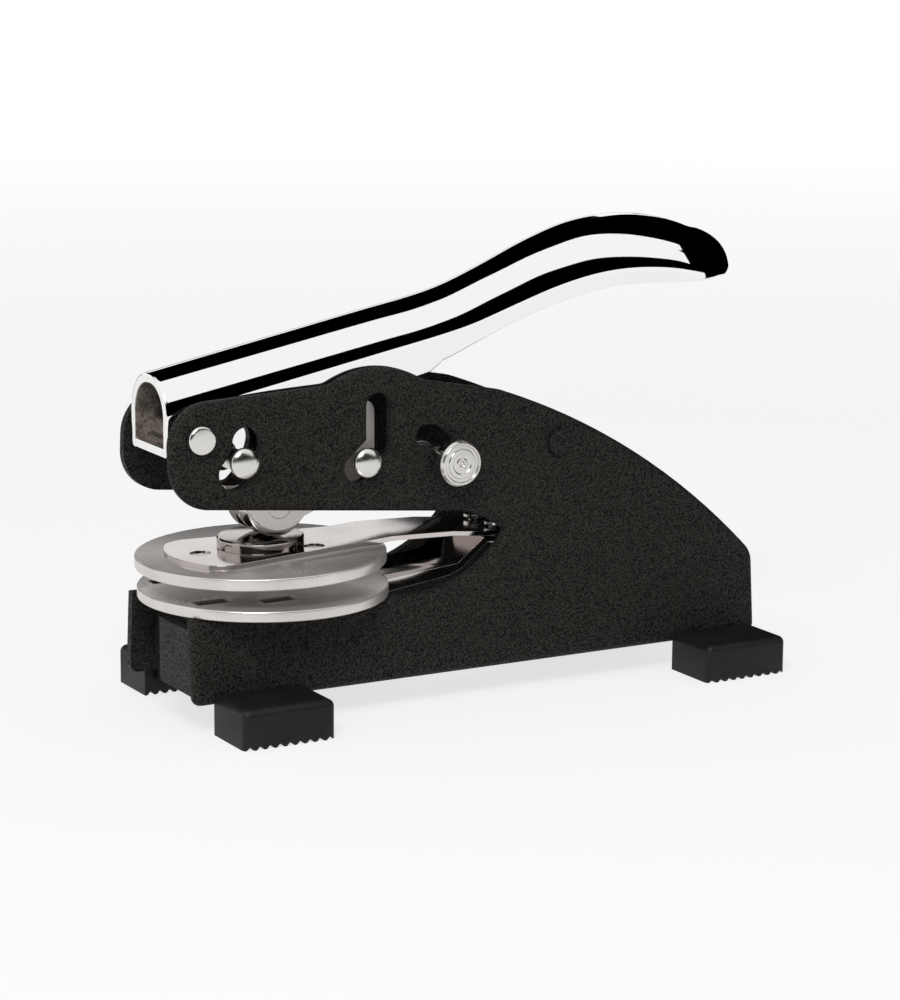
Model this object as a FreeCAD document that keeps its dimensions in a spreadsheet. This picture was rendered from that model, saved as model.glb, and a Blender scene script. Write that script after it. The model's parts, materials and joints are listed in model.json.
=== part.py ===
# Desk seal embosser: a pressed-steel stand with two leaning side plates, a chromed
# lever, a press link with two rollers, and a die clip that slides into the throat.
# Millimetres.  X runs from the nose to the tail, Z is up, and the left plate is at -Y.
# Sizes along X are given from the die axis; "die_x" then places the die axis so that
# the origin is under the middle of the whole machine.
import FreeCAD, Part
import math
import os

import Sketcher
from FreeCAD import Placement, Rotation, Vector

# ---------------------------------------------------------------- driving sizes

SIZES = {
    # whole machine
    "die_x": -44.845,              # die axis, from the middle of the machine
    "running_fit": 0.1,            # radial play of a pin that turns in its hole
    "air_gap": 0.3,                # air between pieces that pass each other
    # die discs
    "disc_dia": 54.0,
    "disc_thick": 2.4,
    "upper_disc_thick": 2.6,
    "upper_shift": 0.5,            # the upper parts sit this much towards the nose
    "disc_round": 0.35,
    "lower_disc_z": 24.5,
    "die_gap": 4.6,                # between the discs on the die axis, at rest
    "die_slot_long": 8.4,          # slots that take the tabs of a die plate
    "die_slot_wide": 1.7,
    "die_slot_front_x": -17.6,
    "die_slot_front_y": 11.2,
    "die_slot_mid_x": -4.5,
    "die_slot_mid_y": 15.6,
    "boss_dia": 18.8,
    "boss_high": 2.4,
    "boss_chamfer": 0.35,
    "disc_rivet_front_x": -14.2,
    "disc_rivet_rear_x": 9.4,
    "disc_rivet_rear_y": 6.9,
    "disc_rivet_dia": 4.4,
    "disc_rivet_high": 0.8,
    # side plates
    "plate_thick": 2.0,
    "plate_lean": 5.14,            # each plate leans in towards the middle
    "plate_half": 17.6,            # middle to the outer face, at the bottom edge
    "plate_bottom_z": 6.2,
    "plate_rear_x": 117.2,
    "plate_front_x": -24.4,
    "tail_z": 24.6,
    "tail_arc": 160.0,
    "ledge_rear_x": 52.0,
    "ledge_rear_z": 66.6,
    "hump_rear_x": 33.3,
    "hump_rear_z": 70.1,
    "hump_arc": 21.5,
    "hump_front_x": 10.6,
    "hump_front_z": 70.6,
    "nose_x": -27.2,
    "nose_top_z": 68.9,
    "nose_bottom_z": 47.6,
    "throat_lip_x": 40.0,
    "throat_lip_z": 41.1,
    "throat_lip_arc": 21.3,
    "throat_x": 51.8,
    "throat_z": 36.0,
    "throat_arc": 28.0,
    "throat_floor_x": 29.5,
    "nose_round": 9.4,
    "brow_round": 9.5,
    "tail_round": 5.5,
    "heel_round": 2.0,
    "toe_round": 2.0,
    "blend_round": 5.0,
    "ledge_round": 12.0,
    "edge_round": 0.5,
    # front flange of the left plate
    "flange_bottom_z": 8.3,
    "flange_top_z": 22.2,
    "flange_bend": 1.7,
    # feet
    "foot_front_x": -20.1,
    "foot_long": 21.2,
    "foot_wide": 14.5,
    "foot_high": 8.5,
    "foot_base": 114.35,           # front foot to rear foot
    "foot_round": 1.6,
    "foot_skin": 1.6,              # rubber round the steel ear
    "ear_z": 3.4,
    "ear_side": 2.6,               # rubber on each side of the ear
    "ridge_pitch": 2.3,
    "ridge_deep": 0.9,
    "ridge_wide": 1.7,
    # cross pieces between the plates
    "bridge_front_x": -19.0,
    "bridge_rear_x": 22.0,
    "bridge_wall": 2.0,
    "brace_front_x": 70.0,
    "brace_rear_x": 104.0,
    "brace_z": 12.0,
    "brace_high": 10.0,
    "spacer_x": 65.8,
    "spacer_z": 54.0,
    "spacer_dia": 7.0,
    "spacer_neck_dia": 4.6,
    "spacer_head_dia": 5.6,
    "spacer_head_high": 0.8,
    # lever pivot
    "pivot_x": -20.2,
    "pivot_z": 61.7,
    "pivot_dia": 5.0,
    "pivot_head_dia": 6.3,
    "pivot_head_high": 1.0,
    "washer_dia": 8.6,
    # lever, in its own frame: X along the channel from the pivot, tilted at rest
    "lever_tilt": 11.24,
    "lever_up": 26.0,
    "lever_down": 14.0,
    "lever_wall": 2.0,
    "lever_side_gap": 0.5,
    "lever_crown_z": 13.5,
    "lever_front": 6.22,           # pivot to the upright front face, at pivot height
    "lever_sill_z": -2.95,         # underside of the sill that closes the channel in front
    "lever_sill_thick": 2.0,
    "lever_sill_rear": -2.9,
    "lever_sill_round": 1.6,
    "leg_step_x": -1.6,
    "leg_step_z": -5.2,
    "lug_round": 6.0,
    "leg_relief_x": 20.0,          # the legs clear the guide pin from here on
    "leg_relief_z": -3.6,
    "leg_knee_x": 56.9,
    "leg_knee_z": -1.6,
    # link pin and press link
    "link_pin_x": -11.15,
    "link_pin_z": 56.4,
    "link_pin_dia": 4.6,
    "link_pin_head_dia": 6.7,
    "link_pin_head_high": 2.0,
    "link_thick": 1.0,             # each of the two link plates
    "link_lobe_x": 0.93,           # round lower end, beside the roller
    "link_lobe_up": 2.05,
    "link_lobe": 7.4,
    "link_eye": 5.2,
    "link_tail_x": 23.5,
    "link_top_z": 66.0,
    "bush_dia": 7.4,
    "guide_x": 17.6,
    "guide_z": 54.0,
    "guide_dia": 4.0,
    "guide_head_dia": 6.6,
    "guide_head_high": 2.0,
    "head_seat": 0.5,              # air between a moving pin head and its plate
    "roller_x": 0.8,
    "roller_dia": 13.8,
    "roller_pin_dia": 5.4,
    # slots in the side plates
    "arc_slot_wide": 6.6,
    "arc_slot_low": 3.5,           # degrees past the pressed place of the pin
    "arc_slot_high": -3.5,         # degrees past its raised place
    "guide_slot_wide": 5.9,
    "guide_slot_foot_x": -1.95,    # from the guide pin at rest
    "guide_slot_foot_z": -1.3,
    "guide_slot_knee_x": 3.5,
    "guide_slot_knee_z": 3.1,
    "guide_slot_top_x": 3.9,
    "guide_slot_top_z": 11.45,
    "latch_slot_wide": 5.2,
    # die clip: the upper parts are modelled level, from the line where the clip flexes
    "flex_x": 55.0,
    "flex_z": 33.6,
    "flex_gap": 0.4,
    "clip_tilt": 1.2,              # nose of the upper arm hangs this much lower
    "arm_thick": 1.1,
    "tongue_arc": 20.8,            # round front of the tongue, about the die axis
    "tongue_nose_half": 11.2,
    "tongue_shoulder_x": -12.2,
    "tongue_half": 13.8,
    "tongue_shoulder_round": 6.5,
    "tongue_rear_x": 20.0,
    "arm_half": 8.7,
    "arm_neck_x": 27.0,
    "arm_bend_x": 42.0,
    "arm_tail_x": 50.0,
    "arm_end_x": 59.5,
    "arm_rise": 0.3,               # step up behind the disc
    "arm_sag": 0.45,               # drop of the arm where it bends to the tail
    "lower_tongue_front_x": -20.0,
    "lower_tongue_half": 12.0,
    "lower_arm_half": 8.7,
    "lower_arm_z": 26.6,
    "lower_arm_rise": 1.65,
    "lower_arm_lip": 2.4,
    "lower_bend_x": 43.2,
    "tail_rivet_dia": 3.0,
    "tail_rivet_head_dia": 5.0,
    "tail_rivet_y": 4.6,
    # latch
    "latch_x": 32.9,
    "latch_z": 52.5,
    "latch_crank": 5.6,
    "latch_travel": 88.0,
    "latch_thick": 0.8,
    "latch_stud_dia": 4.0,
    "latch_boss": 4.2,
    "latch_hook_long": 13.5,
    "latch_hook_angle": -43.0,
    "latch_hook_wide": 5.0,
    "knob_pin_dia": 3.2,
    "knob_dia": 10.1,
    "knob_long": 3.8,
    "knob_gap": 1.0,
    "knob_ring_deep": 0.35,
}

# Cross sections of the grip.  Along the lever from its pivot, how much wider than the
# channel on each side, crown height, lower edge height, corner radius over half width.
GRIP_PARTS = ("along", "wider", "crown", "low", "corner")
GRIP_SECTIONS = {
    "root": (60.0, 0.0, 13.5, 0.0, 0.94),
    "neck": (68.0, 0.35, 14.1, 1.6, 0.92),
    "rise": (80.0, 1.05, 16.0, 4.1, 0.90),
    "back": (93.0, 2.15, 18.6, 5.7, 0.86),
    "crest": (105.5, 3.05, 19.8, 5.4, 0.80),
    "palm": (117.5, 3.3, 17.9, 2.9, 0.76),
    "heel": (128.8, 2.2, 12.7, 0.6, 0.72),
    "tip": (135.6, -0.6, 8.2, -0.5, 0.68),
    "end": (139.4, -4.9, 2.8, -1.3, 0.60),
}
for section, values in GRIP_SECTIONS.items():
    for part, value in zip(GRIP_PARTS, values):
        SIZES[f"grip_{section}_{part}"] = value


# ---------------------------------------------------------------- sizes as expressions

class Dim:
    """A size: its value in millimetres or degrees, and the expression that gives it."""

    def __init__(self, text, value):
        self.text = text
        self.value = value

    def __add__(self, other):
        other = dim(other)
        return Dim(f"({self.text} + {other.text})", self.value + other.value)

    def __radd__(self, other):
        return dim(other) + self

    def __sub__(self, other):
        other = dim(other)
        return Dim(f"({self.text} - {other.text})", self.value - other.value)

    def __rsub__(self, other):
        return dim(other) - self

    def __mul__(self, other):
        other = dim(other)
        return Dim(f"({self.text} * {other.text})", self.value * other.value)

    def __rmul__(self, other):
        return dim(other) * self

    def __truediv__(self, other):
        other = dim(other)
        return Dim(f"({self.text} / {other.text})", self.value / other.value)

    def __neg__(self):
        return Dim(f"(0 - {self.text})", -self.value)


def dim(size):
    """Take a Dim as it is, and turn a plain number into one."""
    return size if isinstance(size, Dim) else Dim(repr(float(size)), float(size))


def sine(angle):
    angle = dim(angle)
    return Dim(f"sin({angle.text})", math.sin(math.radians(angle.value)))


def cosine(angle):
    angle = dim(angle)
    return Dim(f"cos({angle.text})", math.cos(math.radians(angle.value)))


def tangent(angle):
    return sine(angle) / cosine(angle)


class Sheet:
    """The spreadsheet of driving sizes; each alias reads as a Dim."""

    def __init__(self, doc, sizes):
        self.sheet = doc.addObject("Spreadsheet::Sheet", "Sizes")
        self.sizes = sizes
        for row, (alias, value) in enumerate(sizes.items(), start=1):
            self.sheet.set(f"A{row}", alias)
            self.sheet.set(f"B{row}", str(value))
            self.sheet.setAlias(f"B{row}", alias)

    def __getattr__(self, alias):
        return Dim(f"Sizes.{alias}", self.sizes[alias])


doc = FreeCAD.newDocument("SealEmbosser")
S = Sheet(doc, SIZES)
doc.recompute()
PIECES = []


# ---------------------------------------------------------------- places worked out once

def plate_outer(z):
    """Distance from the middle to the outer face of a leaning side plate, at height z."""
    return S.plate_half - tangent(S.plate_lean) * (z - S.plate_bottom_z)


PLATE_ACROSS = S.plate_thick / cosine(S.plate_lean)


def plate_inner(z):
    return plate_outer(z) - PLATE_ACROSS


HUMP_TOP_Z = S.hump_rear_z + 3.4
LEVER_HALF = plate_inner(HUMP_TOP_Z) - S.lever_side_gap
LEVER_INNER = LEVER_HALF - S.lever_wall
LINK_OUTER = LEVER_INNER - S.air_gap
LINK_INNER = LINK_OUTER - S.link_thick
ROLLER_HALF = LINK_INNER - S.air_gap
DISC_RADIUS = S.disc_dia / 2
LOWER_DISC_TOP = S.lower_disc_z + S.disc_thick

# The upper clip parts are drawn level, with X and Z from the flex line.
FLAT_DISC_Z = ((LOWER_DISC_TOP + S.die_gap - S.flex_z + S.flex_x * sine(S.clip_tilt))
               / cosine(S.clip_tilt))
FLAT_ARM_Z = FLAT_DISC_Z + S.upper_disc_thick
FLAT_BOSS_Z = FLAT_ARM_Z + S.arm_thick
FLAT_AXIS_X = -S.flex_x - S.upper_shift
BOSS_TOP_Z = (S.flex_z - S.flex_x * sine(S.clip_tilt)
              + (FLAT_BOSS_Z + S.boss_high) * cosine(S.clip_tilt))
ROLLER_Z = BOSS_TOP_Z + S.air_gap + S.roller_dia / 2

# The link pin, seen from the lever pivot.
LINK_ARM_X = S.link_pin_x - S.pivot_x
LINK_ARM_Z = S.link_pin_z - S.pivot_z
LINK_LEVER_X = LINK_ARM_X * cosine(S.lever_tilt) + LINK_ARM_Z * sine(S.lever_tilt)
LINK_LEVER_Z = LINK_ARM_Z * cosine(S.lever_tilt) - LINK_ARM_X * sine(S.lever_tilt)
LINK_REACH_VALUE = math.hypot(LINK_ARM_X.value, LINK_ARM_Z.value)
LINK_REACH = Dim(f"sqrt({LINK_ARM_X.text}^2 + {LINK_ARM_Z.text}^2)", LINK_REACH_VALUE)
LINK_ANGLE = Dim(f"(atan({LINK_ARM_Z.text} / {LINK_ARM_X.text}) / 1 deg)",
                 math.degrees(math.atan2(LINK_ARM_Z.value, LINK_ARM_X.value)))


# ---------------------------------------------------------------- modelling helpers

class Piece:
    """One sub-part: a PartDesign body with short calls for its sketches and features."""

    def __init__(self, name, frame="stand"):
        self.body = doc.addObject("PartDesign::Body", name)
        self.body.Label = name
        self.place(frame)
        PIECES.append(self.body)

    def place(self, frame):
        """Put the body on the die axis, on the lever pivot or on the clip's flex line."""
        tilts = {"stand": 0.0, "lever": S.lever_tilt, "clip": S.clip_tilt}
        x = {"stand": S.die_x, "lever": S.die_x + S.pivot_x, "clip": S.die_x + S.flex_x}
        z = {"stand": dim(0.0), "lever": S.pivot_z, "clip": S.flex_z}
        tilt = dim(tilts[frame])
        turn = Rotation(Vector(0, -1, 0), tilt.value)
        self.body.Placement = Placement(Vector(x[frame].value, 0, z[frame].value), turn)
        self.body.setExpression("Placement.Base.x", x[frame].text)
        self.body.setExpression("Placement.Base.z", z[frame].text)
        if frame != "stand":
            self.body.setExpression("Placement.Rotation.Angle", tilt.text)

    def sketch(self, plane, offset=0.0):
        """A sketch on one of the body's own planes, moved along that plane's normal."""
        sketch = self.body.newObject("Sketcher::SketchObject", "Sketch")
        support = [f for f in self.body.Origin.OriginFeatures if f.Role == plane + "_Plane"]
        sketch.AttachmentSupport = [(support[0], "")]
        sketch.MapMode = "FlatFace"
        offset = dim(offset)
        sketch.AttachmentOffset = Placement(Vector(0, 0, offset.value), Rotation())
        sketch.setExpression("AttachmentOffset.Base.z", offset.text)
        return sketch

    def feature(self, kind, profile, **options):
        feature = self.body.newObject("PartDesign::" + kind, kind)
        feature.Profile = profile
        for name, value in options.items():
            if isinstance(value, Dim):
                setattr(feature, name, value.value)
                feature.setExpression(name, value.text)
            else:
                setattr(feature, name, value)
        profile.Visibility = False
        doc.recompute()
        return feature

    def pad(self, profile, length, midplane=False, flip=False):
        return self.feature("Pad", profile, Length=dim(length), Midplane=midplane,
                            Reversed=flip)

    def cut(self, profile, length=None, flip=False):
        """Pocket one way by a length, or right through both ways."""
        before = self.body.Shape.Volume
        if length is None:
            pocket = self.feature("Pocket", profile, Type=1, Midplane=True)
        else:
            pocket = self.feature("Pocket", profile, Length=dim(length), Reversed=flip)
        if not self.body.Shape.Volume < before:
            raise RuntimeError(self.body.Label + ": a pocket cut nothing")
        return pocket

    def revolve(self, profile):
        """Turn a profile round the sketch's vertical axis."""
        return self.feature("Revolution", profile, ReferenceAxis=(profile, ["V_Axis"]),
                            Angle=360.0)

    def dress(self, kind, test, **size):
        """Fillet or chamfer the edges of the body for which test(edge) is true."""
        base = self.body.Tip
        names = [f"Edge{i}" for i, edge in enumerate(base.Shape.Edges, start=1) if test(edge)]
        if not names:
            raise RuntimeError(self.body.Label + ": no edge to " + kind)
        feature = self.body.newObject("PartDesign::" + kind, kind)
        feature.Base = (base, names)
        for name, value in size.items():
            setattr(feature, name, value.value)
            feature.setExpression(name, value.text)
        doc.recompute()
        return feature

    def fillet(self, test, radius):
        return self.dress("Fillet", test, Radius=dim(radius))

    def chamfer(self, test, size):
        return self.dress("Chamfer", test, Size=dim(size))


def add_edge(sketch, start, end, bend):
    """Add the line or arc between two corners; bend is None or (turn, radius).  Gives the
    edge and which of its ends, 1 or 2, lies at the start corner and at the end corner."""
    a = Vector(start[0].value, start[1].value, 0)
    b = Vector(end[0].value, end[1].value, 0)
    if bend is None:
        return sketch.addGeometry(Part.LineSegment(a, b), False), 1, 2
    turn, radius = bend
    chord = b - a
    side = 1 if turn == "ccw" else -1
    left = Vector(-chord.y, chord.x, 0) / chord.Length
    reach = math.sqrt(max(radius.value ** 2 - chord.Length ** 2 / 4, 0.0))
    centre = (a + b) / 2 + left * reach * side
    middle = centre - left * radius.value * side
    if turn == "ccw":
        return sketch.addGeometry(Part.Arc(a, middle, b), False), 1, 2
    return sketch.addGeometry(Part.Arc(b, middle, a), False), 2, 1


def bind(sketch, constraint, size):
    index = sketch.addConstraint(constraint)
    sketch.setExpression(f"Constraints[{index}]", size.text)


def outline(sketch, corners):
    """A closed outline.  Each corner is (x, y), or (x, y, turn, radius) when the edge to
    the next corner is an arc that turns "ccw" or "cw"."""
    points = [(dim(c[0]), dim(c[1])) for c in corners]
    bends = [(c[2], dim(c[3])) if len(c) == 4 else None for c in corners]
    count = len(points)
    edges = []
    for i in range(count):
        edges.append(add_edge(sketch, points[i], points[(i + 1) % count], bends[i]))
    for (edge, _, last), (following, first, _) in zip(edges, edges[1:] + edges[:1]):
        sketch.addConstraint(Sketcher.Constraint("Coincident", edge, last, following, first))
    for (edge, end, _), point, bend in zip(edges, points, bends):
        for kind, size in (("DistanceX", point[0]), ("DistanceY", point[1])):
            bind(sketch, Sketcher.Constraint(kind, -1, 1, edge, end, size.value), size)
        if bend is not None:
            bind(sketch, Sketcher.Constraint("Radius", edge, bend[1].value), bend[1])
    return sketch


def box(sketch, x0, y0, x1, y1):
    return outline(sketch, [(x0, y0), (x1, y0), (x1, y1), (x0, y1)])


def circle(sketch, x, y, diameter):
    x, y, diameter = dim(x), dim(y), dim(diameter)
    edge = sketch.addGeometry(
        Part.Circle(Vector(x.value, y.value, 0), Vector(0, 0, 1), diameter.value / 2), False)
    bind(sketch, Sketcher.Constraint("DistanceX", -1, 1, edge, 3, x.value), x)
    bind(sketch, Sketcher.Constraint("DistanceY", -1, 1, edge, 3, y.value), y)
    bind(sketch, Sketcher.Constraint("Radius", edge, diameter.value / 2), diameter / 2)
    return sketch


def arc_slot(sketch, x, y, radius, wide, low, high):
    """A slot bent round (x, y), between two angles, with round ends."""
    half = dim(wide) / 2
    outer = radius + half
    inner = radius - half
    return outline(sketch, [
        (x + outer * cosine(low), y + outer * sine(low), "ccw", outer),
        (x + outer * cosine(high), y + outer * sine(high), "ccw", half),
        (x + radius * cosine(high) - half * sine(high),
         y + radius * sine(high) + half * cosine(high), "ccw", half),
        (x + inner * cosine(high), y + inner * sine(high), "cw", inner),
        (x + inner * cosine(low), y + inner * sine(low), "ccw", half),
        (x + radius * cosine(low) + half * sine(low),
         y + radius * sine(low) - half * cosine(low), "ccw", half),
    ])


def straight_slot(sketch, x0, y0, x1, y1, wide):
    """A slot from one centre to another, with round ends."""
    half = dim(wide) / 2
    run = Dim(f"sqrt(({x1.text} - {x0.text})^2 + ({y1.text} - {y0.text})^2)",
              math.hypot(x1.value - x0.value, y1.value - y0.value))
    ax = (x1 - x0) / run * half
    ay = (y1 - y0) / run * half
    return outline(sketch, [
        (x0 + ay, y0 - ax), (x1 + ay, y1 - ax, "ccw", half), (x1 + ax, y1 + ay, "ccw", half),
        (x1 - ay, y1 + ax), (x0 - ay, y0 + ax, "ccw", half), (x0 - ax, y0 - ay, "ccw", half),
    ])


def upright_at(x, z, slack=0.3):
    """True for an edge that runs across the machine near the line (x, z)."""
    def test(edge):
        ends = [v.Point for v in edge.Vertexes]
        if len(ends) != 2 or abs(ends[0].y - ends[1].y) < 0.5:
            return False
        return all(math.hypot(p.x - x.value, p.z - z.value) < slack for p in ends)
    return test


# ---------------------------------------------------------------- side plates

GUIDE_FOOT = (S.guide_x + S.guide_slot_foot_x, S.guide_z + S.guide_slot_foot_z)
GUIDE_KNEE = (S.guide_x + S.guide_slot_knee_x, S.guide_z + S.guide_slot_knee_z)
GUIDE_TOP = (S.guide_x + S.guide_slot_top_x, S.guide_z + S.guide_slot_top_z)


def plate_profile():
    """Side view of a plate, anticlockwise from the toe of the base."""
    base_z = S.lower_disc_z
    return [
        (S.plate_front_x, S.plate_bottom_z),
        (S.plate_rear_x, S.plate_bottom_z),
        (S.plate_rear_x, S.tail_z, "ccw", S.tail_arc),
        (S.ledge_rear_x, S.ledge_rear_z),
        (S.hump_rear_x, S.hump_rear_z, "ccw", S.hump_arc),
        (S.hump_front_x, S.hump_front_z),
        (S.nose_x, S.nose_top_z),
        (S.nose_x, S.nose_bottom_z),
        (S.throat_lip_x, S.throat_lip_z, "cw", S.throat_lip_arc),
        (S.throat_x, S.throat_z, "cw", S.throat_arc),
        (S.throat_floor_x, base_z),
        (S.plate_front_x, base_z),
    ]


def plate_openings(piece):
    """The holes and slots that each plate has for pins, rivets and the latch."""
    holes = piece.sketch("XZ")
    circle(holes, S.pivot_x, S.pivot_z, S.pivot_dia)
    circle(holes, S.spacer_x, S.spacer_z, S.spacer_neck_dia)
    arc_slot(holes, S.pivot_x, S.pivot_z, LINK_REACH, S.arc_slot_wide,
             LINK_ANGLE - S.lever_down - S.arc_slot_low,
             LINK_ANGLE + S.lever_up + S.arc_slot_high)
    straight_slot(holes, GUIDE_KNEE[0], GUIDE_KNEE[1], GUIDE_TOP[0], GUIDE_TOP[1],
                  S.guide_slot_wide)
    piece.cut(holes)
    foot = piece.sketch("XZ")
    straight_slot(foot, GUIDE_FOOT[0], GUIDE_FOOT[1], GUIDE_KNEE[0], GUIDE_KNEE[1],
                  S.guide_slot_wide)
    piece.cut(foot)


def foot_ears(piece, side):
    """Two ears, bent out under the plate, that the rubber feet are pushed on to."""
    for start in (S.foot_front_x, S.foot_front_x + S.foot_base):
        ear = piece.sketch("YZ", start + S.ear_side)
        inner = plate_inner(S.plate_bottom_z)
        outer = S.plate_half + S.foot_wide - S.foot_skin
        low = S.ear_z
        high = S.ear_z + S.plate_thick
        top = S.plate_bottom_z + S.plate_thick
        lean = tangent(S.plate_lean)
        outline(ear, [
            (side * inner, low), (side * outer, low), (side * outer, high),
            (side * S.plate_half, high), (side * S.plate_half, S.plate_bottom_z),
            (side * (S.plate_half - lean * S.plate_thick), top),
            (side * (inner - lean * S.plate_thick), top),
            (side * inner, S.plate_bottom_z),
        ])
        piece.pad(ear, S.foot_long - S.ear_side * 2)


def front_flange(piece, side):
    """The return at the front of the left plate, folded in to the middle."""
    flange = piece.sketch("XY", S.flange_bottom_z)
    root = side * (plate_outer(S.flange_top_z) - S.plate_thick * 0.2)
    box(flange, S.plate_front_x, root, S.plate_front_x + S.plate_thick, 0.0)
    piece.pad(flange, S.flange_top_z - S.flange_bottom_z)

    def corner(edge):
        ends = [v.Point for v in edge.Vertexes]
        return (len(ends) == 2 and abs(ends[0].z - ends[1].z) > 10
                and all(abs(p.x - S.plate_front_x.value) < 0.01 for p in ends)
                and all(abs(abs(p.y) - plate_outer(dim(p.z)).value) < 0.05 for p in ends))
    piece.fillet(corner, S.flange_bend)


def side_plate(name, side):
    piece = Piece(name)
    top = HUMP_TOP_Z + 3
    slab = piece.sketch("YZ", S.nose_x - 1)
    outline(slab, [
        (side * plate_inner(S.plate_bottom_z), S.plate_bottom_z),
        (side * plate_outer(S.plate_bottom_z), S.plate_bottom_z),
        (side * plate_outer(top), top),
        (side * plate_inner(top), top),
    ])
    piece.pad(slab, S.plate_rear_x - S.nose_x + 2)
    around = piece.sketch("XZ")
    box(around, S.nose_x - 5, S.plate_bottom_z - 5, S.plate_rear_x + 5, top + 5)
    outline(around, plate_profile())
    piece.cut(around)
    rounds = (
        (S.nose_x, S.nose_bottom_z, S.nose_round),
        (S.nose_x, S.nose_top_z, S.brow_round),
        (S.plate_rear_x, S.tail_z, S.tail_round),
        (S.hump_rear_x, S.hump_rear_z, S.blend_round),
        (S.hump_front_x, S.hump_front_z, S.blend_round),
        (S.ledge_rear_x, S.ledge_rear_z, S.ledge_round),
        (S.plate_rear_x, S.plate_bottom_z, S.heel_round),
        (S.throat_x, S.throat_z, S.edge_round * 1.6),
    )
    for x, z, radius in rounds:
        piece.fillet(upright_at(x, z), radius)
    piece.fillet(upright_at(S.plate_front_x, S.plate_bottom_z), S.toe_round)
    if side < 0:
        front_flange(piece, side)
    plate_openings(piece)
    if side < 0:
        latch = piece.sketch("XZ")
        arc_slot(latch, S.latch_x, S.latch_z, S.latch_crank, S.latch_slot_wide,
                 dim(-2.0), S.latch_travel + 2)
        piece.cut(latch)
    foot_ears(piece, side)
    return piece


# ---------------------------------------------------------------- cross pieces

def base_bridge():
    """A channel between the plates that carries the lower disc."""
    piece = Piece("base_bridge")
    section = piece.sketch("YZ", S.bridge_front_x)
    top = S.lower_disc_z - S.arm_thick - S.air_gap
    low = S.plate_bottom_z + 4
    wall = S.bridge_wall
    outline(section, [
        (-plate_inner(low), low), (wall - plate_inner(low), low),
        (wall - plate_inner(top - wall), top - wall), (plate_inner(top - wall) - wall, top - wall),
        (plate_inner(low) - wall, low), (plate_inner(low), low),
        (plate_inner(top), top), (-plate_inner(top), top),
    ])
    piece.pad(section, S.bridge_rear_x - S.bridge_front_x)


def rear_brace():
    """A channel between the plates near the rear feet."""
    piece = Piece("rear_brace")
    section = piece.sketch("YZ", S.brace_front_x)
    low = S.brace_z
    top = S.brace_z + S.brace_high
    wall = S.bridge_wall
    outline(section, [
        (-plate_inner(low), low), (wall - plate_inner(low), low),
        (wall - plate_inner(top - wall), top - wall), (plate_inner(top - wall) - wall, top - wall),
        (plate_inner(low) - wall, low), (plate_inner(low), low),
        (plate_inner(top), top), (-plate_inner(top), top),
    ])
    piece.pad(section, S.brace_rear_x - S.brace_front_x)


def cross_pin(name, x, z, steps, frame="stand", round_head=None):
    """A turned pin along Y.  steps lists (half length, diameter) from the middle out."""
    piece = Piece(name, frame)
    turned = piece.sketch("XZ")
    circle(turned, x, z, steps[0][1])
    piece.pad(turned, steps[0][0] * 2, midplane=True)
    for (start, _), (end, diameter) in zip(steps, steps[1:]):
        for side, flip in ((-1, False), (1, True)):
            ring = piece.sketch("XZ", start * -side)
            circle(ring, x, z, diameter)
            piece.pad(ring, end - start, flip=flip)
    if round_head is not None:
        end = steps[-1][0]
        diameter = steps[-1][1]

        def rim(edge):
            middle = edge.BoundBox.Center
            return (len(edge.Vertexes) == 1 and abs(abs(middle.y) - end.value) < 0.05
                    and abs(edge.BoundBox.XLength - diameter.value) < 0.05)
        piece.fillet(rim, round_head)
    return piece


def on_both_sides(piece, start, end, draw):
    """Pad the same sketch on the left and on the right, between two distances."""
    for side, flip in ((-1, False), (1, True)):
        sketch = piece.sketch("XZ", start * -side)
        draw(sketch)
        piece.pad(sketch, end - start, flip=flip)


def rear_spacer():
    inner = plate_inner(S.spacer_z + S.spacer_dia / 2)
    outer = plate_outer(S.spacer_z - S.spacer_head_dia / 2) + 0.05
    cross_pin("rear_spacer", S.spacer_x, S.spacer_z, [
        (inner, S.spacer_dia), (outer, S.spacer_neck_dia),
        (outer + S.spacer_head_high, S.spacer_head_dia)], round_head=dim(0.4))


def lever_pivot():
    outer = plate_outer(S.pivot_z - S.pivot_head_dia / 2) + 0.05
    cross_pin("lever_pivot_pin", S.pivot_x, S.pivot_z, [
        (outer, S.pivot_dia), (outer + S.pivot_head_high, S.pivot_head_dia)],
        round_head=dim(0.3))
    piece = Piece("pivot_washers")
    start = LEVER_HALF + S.air_gap / 2
    end = plate_inner(S.pivot_z + S.washer_dia / 2) - 0.02

    def ring(sketch):
        circle(sketch, S.pivot_x, S.pivot_z, S.washer_dia)
        circle(sketch, S.pivot_x, S.pivot_z, S.pivot_dia + S.running_fit)
    on_both_sides(piece, start, end, ring)


# ---------------------------------------------------------------- feet

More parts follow.
